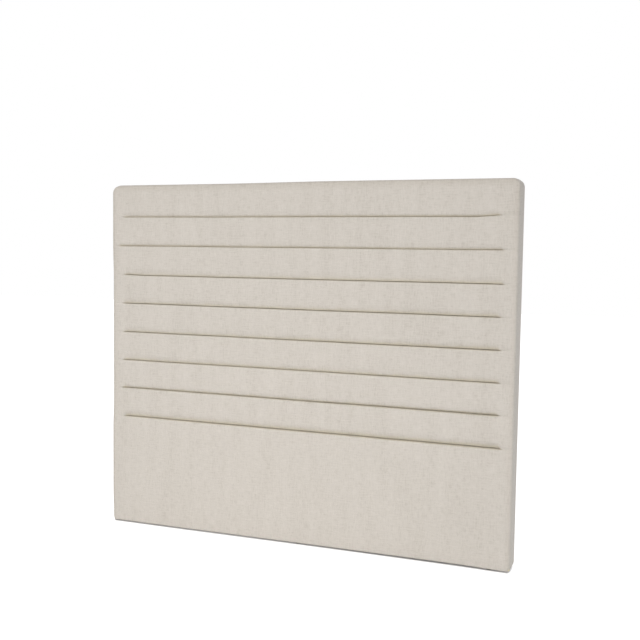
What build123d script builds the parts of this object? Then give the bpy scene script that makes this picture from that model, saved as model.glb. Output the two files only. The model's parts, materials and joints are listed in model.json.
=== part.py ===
from build123d import *

import os
from math import floor

# Upholstered slab headboard that stands on the floor behind a bed.
# Millimetres, +Z up, front towards -Y, origin on the floor under the middle of the slab.

# Overall sizes of the slab
width = 1600.0
lower_panel_height = 429.0
channel_height = 113.0
channel_count = 7
top_band_height = 130.0
edge_roundness = 12.0
top_corner_softness = 14.0
bottom_corner_softness = 3.0

# Cover fabric and its seams
fabric_thickness = 1.2
hem_width = 40.0
seam_inset = 40.0
groove_depth = 9.0
groove_rise_above = 24.0
groove_rise_below = 10.0
groove_fade_length = 28.0
fold_thickening_share = 0.6
fade_shares = ((0.0, 0.05), (0.25, 0.3), (0.6, 0.75), (1.0, 1.0))

# Padding
foam_thickness = 25.0
side_wadding = 5.0

# Timber frame and face boards
rail_height = 45.0
rail_depth = 66.0
board_thickness = 6.0
timber_arris = 2.0
rail_drop_below_seam = 20.0
upper_rail_seam_index = 4
corner_block_leg = 80.0
corner_block_thickness = 30.0

# Studs for the bed brackets and their M8 inserts
bracket_spacing = 1000.0
bracket_stud_width = 70.0
insert_pitch = 150.0
insert_thread_radius = 3.4
insert_body_radius = 6.0
insert_body_length = 20.0
insert_flange_radius = 9.0
insert_flange_thickness = 1.5
bolt_hole_depth = 45.0

# Frame screws, two at each end of a rail
frame_screw_length = 90.0
frame_screw_radius = 3.0
frame_screw_head_radius = 6.0
frame_screw_head_height = 4.0
frame_screw_setback = 30.0
frame_screw_gap = 20.0
end_rail_screw_shift = 8.0

# Dowels between studs and rails
dowel_length = 40.0
dowel_radius = 5.0
dowel_chamfer = 1.0
dowel_side_share = 0.5

# Screws that hold the face boards
board_screw_length = 25.0
board_screw_radius = 1.75
board_screw_head_radius = 3.75
board_screw_head_height = 2.5
board_screw_spacing = 175.0
board_joint_margin = 12.0
screw_tip_share = 1.6

# Staples
staple_crown = 10.0
staple_wire = 0.8
cover_staple_leg = 10.0
channel_staple_leg = 6.0
cover_staple_inset = 31.0
cover_staple_spacing = 120.0
dust_staple_inset = 21.0
dust_staple_spacing = 100.0
channel_staple_spacing = 200.0

# Dust cover on the back
dust_cover_thickness = 0.6
dust_cover_inset = 14.0
dust_cover_corner = 10.0
insert_window_clearance = 3.0

# Nail-on floor glides
glide_height = 5.0
glide_radius = 15.0
glide_rim = 1.2
glide_side_inset = 75.0
glide_nail_edge_distance = 10.0
glide_nail_length = 18.0
glide_nail_radius = 1.3
glide_nail_head_radius = 5.0
glide_nail_head_height = 1.2
glide_nail_cover = 2.0

# How far cutting solids run past the faces that they cut
cut_overrun = 5.0

# Heights, from the floor up
cover_bottom = glide_height
lowest_seam = cover_bottom + lower_panel_height
highest_seam = lowest_seam + channel_count * channel_height
cover_top = highest_seam + top_band_height
seam_heights = [lowest_seam + step * channel_height for step in range(channel_count + 1)]

# Depths, from the front back
depth = (
    fabric_thickness + foam_thickness + board_thickness + rail_depth
    + fabric_thickness + dust_cover_thickness
)
cover_front = -depth / 2
foam_front = cover_front + fabric_thickness
board_front = foam_front + foam_thickness
rail_front = board_front + board_thickness
rail_back = rail_front + rail_depth
cover_back = rail_back + fabric_thickness
dust_cover_back = cover_back + dust_cover_thickness
rail_middle = (rail_front + rail_back) / 2

# Sides of what lies inside the cover
half_width = width / 2
cavity_half_width = half_width - fabric_thickness
cavity_bottom = cover_bottom + fabric_thickness
cavity_top = cover_top - fabric_thickness
frame_half_width = cavity_half_width - side_wadding
frame_bottom = cavity_bottom
frame_top = cavity_top - side_wadding
seam_half_length = half_width - seam_inset
top_corner_radius = edge_roundness + top_corner_softness
bottom_corner_radius = edge_roundness + bottom_corner_softness

# Members of the frame
stile_inside = frame_half_width - rail_height
board_joint = lowest_seam - rail_drop_below_seam
upper_rail_middle = seam_heights[upper_rail_seam_index] - rail_drop_below_seam
bottom_rail_middle = frame_bottom + rail_height / 2
top_rail_middle = frame_top - rail_height / 2
rail_middles = (bottom_rail_middle, board_joint, upper_rail_middle, top_rail_middle)
bracket_stud_bottom = bottom_rail_middle + rail_height / 2
bracket_stud_top = board_joint - rail_height / 2
insert_middle = (bracket_stud_bottom + bracket_stud_top) / 2
insert_places = [
    (side * bracket_spacing / 2, insert_middle + end * insert_pitch / 2)
    for side in (-1, 1)
    for end in (-1, 1)
]

parts = {}


def block(left, right, front, back, bottom, top):
    """A box given by its six faces."""
    middle = ((left + right) / 2, (front + back) / 2, (bottom + top) / 2)
    return Pos(*middle) * Box(right - left, back - front, top - bottom)


def slab(half, bottom, top, top_radius, bottom_radius, front, back):
    """An upright slab whose four corners, seen from the front, are rounded."""
    outline = Pos(0, (bottom + top) / 2) * Rectangle(2 * half, top - bottom)
    outline = fillet(outline.vertices().group_by(Axis.Y)[-1], top_radius)
    outline = fillet(outline.vertices().group_by(Axis.Y)[0], bottom_radius)
    upright = Plane(origin=(0, front, 0), x_dir=(1, 0, 0), z_dir=(0, -1, 0))
    return extrude(upright * outline, amount=front - back)


def softened(body, front_radius, back_radius):
    """Round the front and back edges of a slab."""
    body = fillet(body.faces().sort_by(Axis.Y)[0].edges(), front_radius)
    return fillet(body.faces().sort_by(Axis.Y)[-1].edges(), back_radius)


def touching(solid, others):
    """Those of the others whose boxes meet the box of a solid."""
    own = solid.bounding_box()
    return [other for other in others if own.overlaps(other.bounding_box())]


def pierced(solid, fixings):
    """A solid with the holes that its fixings fill."""
    near = touching(solid, fixings)
    return solid - near if near else solid


def evenly(first, last, spacing):
    """Places from first to last, both included, no further apart than the spacing."""
    steps = floor((last - first) / spacing) + 1
    return [first + (last - first) * step / steps for step in range(steps + 1)]


# Grooves that the seams draw into the front

def groove_section(x, seam, front, size_share, extra_depth):
    """The outline cut out across one seam: a slow roll above it and a quick one below."""
    deepest = Vector(x, front + (groove_depth + extra_depth) * size_share, seam)
    upper = Vector(x, front, seam + groove_rise_above * size_share)
    lower = Vector(x, front, seam - groove_rise_below * size_share)
    upper_out = Vector(x, front - cut_overrun, upper.Z)
    lower_out = Vector(x, front - cut_overrun, lower.Z)
    return Face(Wire([
        TangentArc(upper, deepest, tangent=(0, 0, -1)),
        TangentArc(lower, deepest, tangent=(0, 0, 1)),
        Line(lower, lower_out),
        Line(lower_out, upper_out),
        Line(upper_out, upper),
    ]))


def groove(seam, front, extra_depth):
    """One groove, which fades out towards both sides of the slab."""
    left = [
        groove_section(
            -seam_half_length + along_share * groove_fade_length,
            seam, front, size_share, extra_depth,
        )
        for along_share, size_share in fade_shares
    ]
    right = [
        groove_section(
            seam_half_length - along_share * groove_fade_length,
            seam, front, size_share, extra_depth,
        )
        for along_share, size_share in reversed(fade_shares)
    ]
    return loft(left + right, ruled=True)


# Space inside the cover, and the cover itself

cavity_slab = softened(
    slab(
        cavity_half_width, cavity_bottom, cavity_top,
        top_corner_radius - fabric_thickness, bottom_corner_radius - fabric_thickness,
        foam_front, rail_back,
    ),
    edge_roundness - fabric_thickness, timber_arris,
)
fold_depth = fold_thickening_share * fabric_thickness
foam_grooves = [groove(seam, foam_front, fold_depth) for seam in seam_heights]
fold_slits = [
    block(
        -seam_half_length, seam_half_length, foam_front - cut_overrun, board_front,
        seam - fabric_thickness, seam + fabric_thickness,
    )
    for seam in seam_heights
]
cavity = cavity_slab - foam_grooves - fold_slits

cover_slab = softened(
    slab(
        half_width, cover_bottom, cover_top,
        top_corner_radius, bottom_corner_radius, cover_front, cover_back,
    ),
    edge_roundness, timber_arris + fabric_thickness,
)
cover_grooves = [groove(seam, cover_front, 0) for seam in seam_heights]
hem_window = block(
    hem_width - half_width, half_width - hem_width, rail_back - cut_overrun, cover_back + cut_overrun,
    cover_bottom + hem_width, cover_top - hem_width,
)
fabric_cover = cover_slab - cover_grooves - cavity - hem_window


# Staples

def staple(leg):
    """One staple, its crown along X with its top at the origin and its legs towards -Y."""
    half = staple_crown / 2
    outline = Polyline(
        (-half, 0), (half, 0), (half, -leg), (half - staple_wire, -leg),
        (half - staple_wire, -staple_wire), (staple_wire - half, -staple_wire),
        (staple_wire - half, -leg), (-half, -leg), close=True,
    )
    return Pos(0, 0, -staple_wire / 2) * extrude(make_face(outline), amount=staple_wire)


def staple_ring(inset, spacing, top, leg):
    """Staples all round the back, a given way in from the edge of the cover."""
    side = half_width - inset
    low = cover_bottom + inset
    high = cover_top - inset
    one = staple(leg)
    upright = Rot(0, 90, 0) * one
    across = evenly(spacing / 2 - side, side - spacing / 2, spacing)
    along = evenly(low + spacing / 2, high - spacing / 2, spacing)
    level_ones = [Pos(x, top, z) * one for x in across for z in (low, high)]
    upright_ones = [Pos(x, top, z) * upright for z in along for x in (-side, side)]
    return level_ones + upright_ones


cover_staples = staple_ring(cover_staple_inset, cover_staple_spacing, cover_back, cover_staple_leg)
dust_cover_staples = staple_ring(
    dust_staple_inset, dust_staple_spacing, dust_cover_back, cover_staple_leg,
)
channel_staple_top = board_front - fabric_thickness - staple_wire
channel_staple_reach = seam_half_length - groove_fade_length
channel_staples = [
    Pos(x, channel_staple_top, seam) * Rot(0, 0, 180) * staple(channel_staple_leg)
    for seam in seam_heights
    for x in evenly(-channel_staple_reach, channel_staple_reach, channel_staple_spacing)
]


# Screws, dowels, inserts and glides

def wood_screw(length, radius, head_radius, head_height):
    """A countersunk screw that points down from its head's top at the origin."""
    tip = screw_tip_share * 2 * radius
    shank = length - head_height - tip
    head = Pos(0, 0, -head_height / 2) * Cone(radius, head_radius, head_height)
    body = Pos(0, 0, -head_height - shank / 2) * Cylinder(radius, shank)
    point = Pos(0, 0, tip / 2 - length) * Cone(0, radius, tip)
    return head + body + point


rail_screw = wood_screw(
    frame_screw_length, frame_screw_radius, frame_screw_head_radius, frame_screw_head_height,
)
frame_screw_heights = (
    bottom_rail_middle + end_rail_screw_shift, *rail_middles[1:-1],
    top_rail_middle - end_rail_screw_shift,
)
frame_screws = [
    Pos(side * frame_half_width, rail_front + frame_screw_setback + row * frame_screw_gap, z)
    * Rot(0, side * 90, 0)
    * rail_screw
    for z in frame_screw_heights
    for row in (0, 1)
    for side in (-1, 1)
]

face_screw = Rot(90, 0, 0) * wood_screw(
    board_screw_length, board_screw_radius, board_screw_head_radius, board_screw_head_height,
)
screw_levels = (
    bottom_rail_middle, board_joint - board_joint_margin, board_joint + board_joint_margin,
    upper_rail_middle, top_rail_middle,
)
screw_reach = stile_inside - rail_height
stile_middle = frame_half_width - rail_height / 2
board_screws = [
    Pos(x, board_front, z) * face_screw
    for z in screw_levels
    for x in evenly(-screw_reach, screw_reach, board_screw_spacing)
]
lower_board_ends = (bottom_rail_middle, board_joint - board_joint_margin)
upper_board_ends = (board_joint + board_joint_margin, top_rail_middle)
board_screws += [
    Pos(side * stile_middle, board_front, z) * face_screw
    for low, high in (lower_board_ends, upper_board_ends)
    for z in evenly(low, high, board_screw_spacing)
    for side in (-1, 1)
]

dowel = chamfer(Cylinder(dowel_radius, dowel_length).edges().filter_by(GeomType.CIRCLE), dowel_chamfer)


def stud_dowels_at(x, stud_width, joints):
    """Two dowels side by side in each joint of a stud."""
    offset = dowel_side_share * stud_width / 2
    return [Pos(x + side * offset, rail_middle, z) * dowel for z in joints for side in (-1, 1)]


centre_joints = [
    middle + end * rail_height / 2
    for middle in rail_middles
    for end in (-1, 1)
][1:-1]
bracket_joints = (bracket_stud_bottom, bracket_stud_top)
stud_dowels = stud_dowels_at(0, rail_height, centre_joints)
for side in (-1, 1):
    stud_dowels += stud_dowels_at(side * bracket_spacing / 2, bracket_stud_width, bracket_joints)


def towards_back(shape, x, y, z):
    """Turn a shape that points up so that it points to the back, and place it."""
    return Pos(x, y, z) * Rot(-90, 0, 0) * shape


insert_body = (
    Pos(0, 0, -insert_body_length / 2) * Cylinder(insert_body_radius, insert_body_length)
    + Pos(0, 0, insert_flange_thickness / 2) * Cylinder(insert_flange_radius, insert_flange_thickness)
)
insert_bore = Cylinder(insert_thread_radius, 2 * bolt_hole_depth)
insert_drilling = Pos(0, 0, -bolt_hole_depth / 2) * Cylinder(insert_body_radius, bolt_hole_depth)
insert_window = Cylinder(insert_flange_radius + insert_window_clearance, bolt_hole_depth)
threaded_inserts = [towards_back(insert_body - insert_bore, x, rail_back, z) for x, z in insert_places]
insert_drillings = [towards_back(insert_drilling, x, rail_back, z) for x, z in insert_places]
insert_windows = [towards_back(insert_window, x, rail_back, z) for x, z in insert_places]

glide_nail_top = cover_bottom + fabric_thickness + glide_nail_length
glide_nail = (
    Pos(0, 0, glide_nail_cover + glide_nail_head_height / 2)
    * Cylinder(glide_nail_head_radius, glide_nail_head_height)
    + Pos(0, 0, (glide_nail_cover + glide_nail_top) / 2)
    * Cylinder(glide_nail_radius, glide_nail_top - glide_nail_cover)
)
glide_disc = Pos(0, 0, glide_height / 2) * Cylinder(glide_radius, glide_height)
glide_disc = fillet(glide_disc.edges().filter_by(GeomType.CIRCLE).sort_by(Axis.Z)[0], glide_rim)
glide_columns = (glide_side_inset - half_width, 0, half_width - glide_side_inset)
glide_rows = (rail_front + glide_nail_edge_distance, rail_back - glide_radius)
glide_places = [(x, y) for x in glide_columns for y in glide_rows]
glide_nails = [Pos(x, y, 0) * glide_nail for x, y in glide_places]
floor_glides = [Pos(x, y, 0) * (glide_disc - glide_nail) for x, y in glide_places]


# Timber frame

frame_outline = slab(
    frame_half_width, frame_bottom, frame_top,
    top_corner_radius - fabric_thickness - side_wadding, bottom_corner_radius - fabric_thickness,
    board_front, rail_back,
)
frame_envelope = frame_outline & cavity_slab
timber_fixings = (
    frame_screws + board_screws + stud_dowels + insert_drillings + glide_nails
    + cover_staples + dust_cover_staples
)


def timber(left, right, bottom, top):
    """A member of the frame, shaped to the frame's outline and drilled for its fixings."""
    return pierced(block(left, right, rail_front, rail_back, bottom, top) & frame_envelope, timber_fixings)


def rail(middle):
    """A level member between the stiles."""
    return timber(-stile_inside, stile_inside, middle - rail_height / 2, middle + rail_height / 2)


def stud(x, stud_width, below, above):
    """An upright member between the rails whose middles are given."""
    bottom = below + rail_height / 2
    top = above - rail_height / 2
    return timber(x - stud_width / 2, x + stud_width / 2, bottom, top)


parts["left_stile"] = timber(-frame_half_width, -stile_inside, frame_bottom, frame_top)
parts["right_stile"] = timber(stile_inside, frame_half_width, frame_bottom, frame_top)
for name, middle in zip(("bottom_rail", "lower_mid_rail", "upper_mid_rail", "top_rail"), rail_middles):
    parts[name] = rail(middle)
for place, name in enumerate(("centre_stud_lower", "centre_stud_middle", "centre_stud_upper")):
    parts[name] = stud(0, rail_height, rail_middles[place], rail_middles[place + 1])
for side, name in ((-1, "left_bracket_stud"), (1, "right_bracket_stud")):
    parts[name] = stud(side * bracket_spacing / 2, bracket_stud_width, bottom_rail_middle, board_joint)


def corner_block(side, level, corner):
    """A glued three-cornered block in one inner corner of the frame."""
    inner = side * stile_inside
    outline = Polyline(
        (inner, corner), (inner - side * corner_block_leg, corner),
        (inner, corner + level * corner_block_leg), close=True,
    )
    face = Plane(origin=(0, rail_front, 0), x_dir=(1, 0, 0), z_dir=(0, -1, 0)) * make_face(outline)
    return extrude(face, amount=-corner_block_thickness)


for level_name, level, corner in (
    ("bottom", 1, bottom_rail_middle + rail_height / 2),
    ("top", -1, top_rail_middle - rail_height / 2),
):
    for side_name, side in (("left", -1), ("right", 1)):
        parts[f"{level_name}_{side_name}_corner_block"] = corner_block(side, level, corner)


# Face boards, joined on the lower mid rail

def face_board(bottom, top):
    """A thin board over the front of the frame."""
    board = block(-half_width, half_width, board_front, rail_front, bottom, top) & frame_outline
    return pierced(board, board_screws + channel_staples)


parts["upper_face_board"] = face_board(board_joint, frame_top)
parts["lower_face_board"] = face_board(frame_bottom, board_joint)


# Foam behind the cover: a strip in each channel, borders at the sides, plain panels above and below

def foam(left, right, bottom, top):
    """The foam in one stretch of the space between the cover and the boards."""
    return cavity & block(left, right, foam_front, board_front, bottom, top)


parts["top_band_foam"] = foam(-half_width, half_width, highest_seam, cover_top)
for place in range(channel_count):
    low, high = seam_heights[channel_count - 1 - place], seam_heights[channel_count - place]
    parts[f"channel_foam_{place + 1}"] = foam(-seam_half_length, seam_half_length, low, high)
parts["lower_panel_foam"] = foam(-half_width, half_width, cover_bottom, lowest_seam)
parts["left_border_foam"] = foam(-half_width, -seam_half_length, lowest_seam, highest_seam)
parts["right_border_foam"] = foam(seam_half_length, half_width, lowest_seam, highest_seam)

# Wadding between the frame's outer faces and the cover
wadding_ring = (cavity_slab - frame_outline) & block(
    -half_width, half_width, board_front, rail_back, cavity_bottom + side_wadding, cover_top,
)
corner_start = half_width - top_corner_radius
side_reach = (board_front, rail_back, cover_bottom, cover_top)
parts["left_side_wadding"] = wadding_ring & block(-half_width, -corner_start, *side_reach)
parts["right_side_wadding"] = wadding_ring & block(corner_start, half_width, *side_reach)
parts["top_edge_wadding"] = wadding_ring & block(-corner_start, corner_start, *side_reach)

# Cover and dust cover
parts["fabric_cover"] = pierced(
    fabric_cover, cover_staples + dust_cover_staples + channel_staples + glide_nails,
)
dust_sheet = slab(
    half_width - dust_cover_inset, cover_bottom + dust_cover_inset, cover_top - dust_cover_inset,
    dust_cover_corner, dust_cover_corner, cover_back, dust_cover_back,
)
parts["dust_cover"] = pierced(dust_sheet, dust_cover_staples + insert_windows)

# Fixings, each kind as one group of separate solids
for name, group in (
    ("frame_screws", frame_screws),
    ("stud_dowels", stud_dowels),
    ("board_screws", board_screws),
    ("channel_staples", channel_staples),
    ("cover_staples", cover_staples),
    ("dust_cover_staples", dust_cover_staples),
    ("threaded_inserts", threaded_inserts),
    ("floor_glides", floor_glides),
    ("glide_nails", glide_nails),
):
    parts[name] = Compound(children=group)

os.makedirs("parts", exist_ok=True)
for name, shape in parts.items():
    export_step(shape, f"parts/{name}.step")
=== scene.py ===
"""Looks of an upholstered slab headboard with level padded channels.

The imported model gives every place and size. Its hard parts stay and get finishes of their own;
the soft ones (cover, foam, wadding, dust cover) are made again here as soft goods.
Lengths are metres, in the model's frame: +X to the right seen from the front, +Y to the back, +Z up.
"""
import bisect
import json
import logging
import math
from dataclasses import dataclass, field
from enum import Enum
from typing import Any, Callable, ClassVar, Iterable, Optional, Sequence

import bmesh
import bpy
from mathutils import Matrix, Vector, noise

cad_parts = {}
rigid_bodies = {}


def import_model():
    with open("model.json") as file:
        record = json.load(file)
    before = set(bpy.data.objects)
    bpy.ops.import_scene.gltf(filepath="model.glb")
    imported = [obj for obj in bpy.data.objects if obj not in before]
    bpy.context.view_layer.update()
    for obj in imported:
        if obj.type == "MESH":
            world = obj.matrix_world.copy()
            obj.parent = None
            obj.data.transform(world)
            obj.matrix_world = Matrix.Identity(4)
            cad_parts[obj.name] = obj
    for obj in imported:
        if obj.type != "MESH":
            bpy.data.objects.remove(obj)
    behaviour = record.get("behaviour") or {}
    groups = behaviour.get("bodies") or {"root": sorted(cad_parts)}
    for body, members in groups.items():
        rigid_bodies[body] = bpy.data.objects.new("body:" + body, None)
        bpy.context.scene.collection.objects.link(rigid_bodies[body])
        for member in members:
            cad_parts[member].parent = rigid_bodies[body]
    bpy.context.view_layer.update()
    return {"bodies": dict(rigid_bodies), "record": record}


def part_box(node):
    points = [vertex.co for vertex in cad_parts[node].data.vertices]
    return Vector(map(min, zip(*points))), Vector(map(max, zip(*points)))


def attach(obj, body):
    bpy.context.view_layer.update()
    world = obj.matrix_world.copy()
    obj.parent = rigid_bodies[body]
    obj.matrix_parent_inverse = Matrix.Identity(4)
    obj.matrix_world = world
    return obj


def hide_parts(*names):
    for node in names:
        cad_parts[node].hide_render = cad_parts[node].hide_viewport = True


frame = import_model()
BODY = next(iter(frame["bodies"]))
MM = 0.001
CLOTH_MAP = "cloth"
# Colour attribute of painted shade, which darkens the cover along its edges and in its seam folds.
PAINTED_SHADE = "painted_fold_and_edge_shade"
TINY = 1e-7
log = logging.getLogger("headboard")


class Side(Enum):
    """The two ends of the slab, seen from the front."""

    LEFT = -1
    RIGHT = 1


class Grain(Enum):
    """The way the grain of a timber member runs."""

    LEVEL = "level"
    UPRIGHT = "upright"


# Small helpers


def linear(code: str) -> tuple[float, float, float, float]:
    """Turn an sRGB hex colour into linear light.

    Args:
        code: Six hex digits.

    Returns:
        The linear colour with an alpha of 1.
    """
    parts = [int(code[i:i + 2], 16) / 255 for i in (0, 2, 4)]
    light = [c / 12.92 if c <= 0.04045 else ((c + 0.055) / 1.055) ** 2.4 for c in parts]
    return (*light, 1.0)


def smooth(share: float) -> float:
    """Ease a share from 0 to 1, flat at both ends."""
    share = min(1.0, max(0.0, share))
    return share * share * (3 - 2 * share)


def mix(first: float, second: float, share: float) -> float:
    """Blend two numbers."""
    return first + (second - first) * share


@dataclass(frozen=True)
class Slope:
    """A soft step from 0 to 1: where it starts, and the stretch that it takes."""

    start: float
    stretch: float

    def __call__(self, place: float) -> float:
        """Tell how far the step has come at a place."""
        return smooth((place - self.start) / self.stretch)


def graded(start: float, stops: Iterable[tuple[float, float]]) -> list[float]:
    """Lay out places whose spacing changes from stretch to stretch.

    Args:
        start: The first place.
        stops: The end of each stretch and the widest spacing in it.

    Returns:
        Every place, the start and each end included.
    """
    places = [start]
    for end, spacing in stops:
        last = places[-1]
        count = max(1, math.ceil((end - last) / spacing - 1e-6))
        places += [last + (end - last) * step / count for step in range(1, count + 1)]
    return places


def wander(x: float, seed: float, wavelength: float) -> float:
    """Smooth random value from -1 to 1 along a line, the same on each run."""
    return noise.noise(Vector((x / wavelength, seed * 7.31, seed * 3.17)))


def rounded(away: Vector) -> Vector:
    """Draw the corner of a square in to a round one.

    Args:
        away: The way from the centre of the rounding to a place of the square corner.

    Returns:
        The way to that place once the corner is round.
    """
    if abs(away.x) > TINY and abs(away.y) > TINY:
        away *= max(abs(away.x), abs(away.y)) / away.length
    return away


def lay_grid(
    mesh: bmesh.types.BMesh, columns: Sequence[float], rows: Sequence[Any],
) -> list[tuple[bmesh.types.BMVert, int, int]]:
    """Lay a grid in an empty mesh.

    Args:
        mesh: The mesh.
        columns: What the columns stand for, from left to right.
        rows: What the rows stand for, from the lowest up.

    Returns:
        Each vertex with the number of its column and of its row.
    """
    right, top = len(columns) - 1, len(rows) - 1
    bmesh.ops.create_grid(mesh, x_segments=right, y_segments=top, size=1.0)
    return [(vertex, round((vertex.co.x + 1) / 2 * right), round((vertex.co.y + 1) / 2 * top))
            for vertex in mesh.verts]


def put_in_scene(name: str, data: Any) -> bpy.types.Object:
    """Make an object and link it to the scene.

    Args:
        name: The object's name.
        data: Its data, or a bmesh, which is turned into mesh data and freed.

    Returns:
        The object, at the origin.
    """
    if isinstance(data, bmesh.types.BMesh):
        mesh, data = data, bpy.data.meshes.new(name)
        mesh.to_mesh(data)
        mesh.free()
    item = bpy.data.objects.new(name, data)
    bpy.context.scene.collection.objects.link(item)
    return item


def new_piece(name: str, mesh: bmesh.types.BMesh) -> bpy.types.Object:
    """Make an object of a finished bmesh and let it ride on the part's one body.

    Args:
        name: The name of the new piece.
        mesh: The shape, which is freed here.

    Returns:
        The new object, at the origin.
    """
    piece = put_in_scene(name, mesh)
    piece.data.shade_smooth()
    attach(piece, BODY)
    return piece


def give_thickness(piece: bpy.types.Object, thickness: float) -> None:
    """Give a cloth surface its thickness, inwards from its outer face.

    Args:
        piece: The surface.
        thickness: How thick the cloth is.
    """
    solid = piece.modifiers.new("cloth thickness", "SOLIDIFY")
    solid.thickness = thickness
    solid.offset = -1.0
    solid.use_rim = True


def face_out(mesh: bmesh.types.BMesh, depth: float) -> None:
    """Turn all faces over if those in front of a depth point to the back.

    Args:
        mesh: The mesh, whose faces agree with each other.
        depth: The place from front to back that divides them.
    """
    total = sum(face.normal.y * face.calc_area() for face in mesh.faces
                if face.calc_center_median().y < depth)
    if total > 0:
        bmesh.ops.reverse_faces(mesh, faces=mesh.faces[:])


# Finishes


def add_node(
    tree: bpy.types.NodeTree,
    kind: str,
    settings: Optional[dict[Any, Any]] = None,
    links: Optional[dict[Any, bpy.types.NodeSocket]] = None,
) -> bpy.types.Node:
    """Add a node with its settings and links.

    Args:
        tree: The node tree.
        kind: The node's type.
        settings: Values by input name or number, or by the name of a property of the node.
        links: Output sockets by input name or number.

    Returns:
        The new node.
    """
    node = tree.nodes.new(kind)
    for key, value in (settings or {}).items():
        if isinstance(key, str) and hasattr(node, key):
            setattr(node, key, value)
    for key, value in (settings or {}).items():
        if not (isinstance(key, str) and hasattr(node, key)):
            node.inputs[key].default_value = value
    for key, socket in (links or {}).items():
        tree.links.new(socket, node.inputs[key])
    return node


class Finish:
    """A material that is built from nodes when it is first asked for."""

    name: str
    # Values of the shader's own sockets that are the same all over the surface.
    evenly: ClassVar[dict[str, float]] = {}

    def build(self) -> bpy.types.Material:
        """Return the material, made once.

        Returns:
            The material.
        """
        known = bpy.data.materials.get(self.name)
        if known:
            return known
        material = bpy.data.materials.new(self.name)
        material.use_nodes = True
        tree = material.node_tree
        tree.nodes.clear()
        shader = add_node(tree, "ShaderNodeBsdfPrincipled", self.evenly)
        add_node(tree, "ShaderNodeOutputMaterial", None, {"Surface": shader.outputs["BSDF"]})
        self.dress(tree, shader)
        return material

    def dress(self, tree: bpy.types.NodeTree, shader: bpy.types.Node) -> None:
        """Add the finish's own nodes.

        Args:
            tree: The material's nodes.
            shader: The shader among them.
        """
        raise NotImplementedError

    def coat(
        self,
        tree: bpy.types.NodeTree,
        shader: bpy.types.Node,
        tone: bpy.types.NodeSocket,
        stops: Sequence[tuple[float, str]],
        height: Optional[bpy.types.NodeSocket] = None,
        strength: float = 0.0,
        depth: float = 0.0,
    ) -> None:
        """Colour the surface by a tone, and give it a relief if it has one.

        Args:
            tree: The material's nodes.
            shader: The shader among them.
            tone: The tone, from 0 to 1.
            stops: The two tones at which a plain colour is reached, each with that sRGB hex colour.
            height: The relief, from 0 to 1.
            strength: How clearly the relief shows.
            depth: The real height of the relief.
        """
        ramp = add_node(tree, "ShaderNodeValToRGB", None, {0: tone})
        for element, (position, colour) in zip(ramp.color_ramp.elements, stops):
            element.position = position
            element.color = linear(colour)
        tree.links.new(ramp.outputs["Color"], shader.inputs["Base Color"])
        if height is not None:
            bump = add_node(
                tree, "ShaderNodeBump", {"Strength": strength, "Distance": depth}, {"Height": height})
            tree.links.new(bump.outputs["Normal"], shader.inputs["Normal"])

    def put_on(self, piece: bpy.types.Object) -> None:
        """Give the finish to a piece as its only material."""
        piece.data.materials.clear()
        piece.data.materials.append(self.build())


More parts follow.
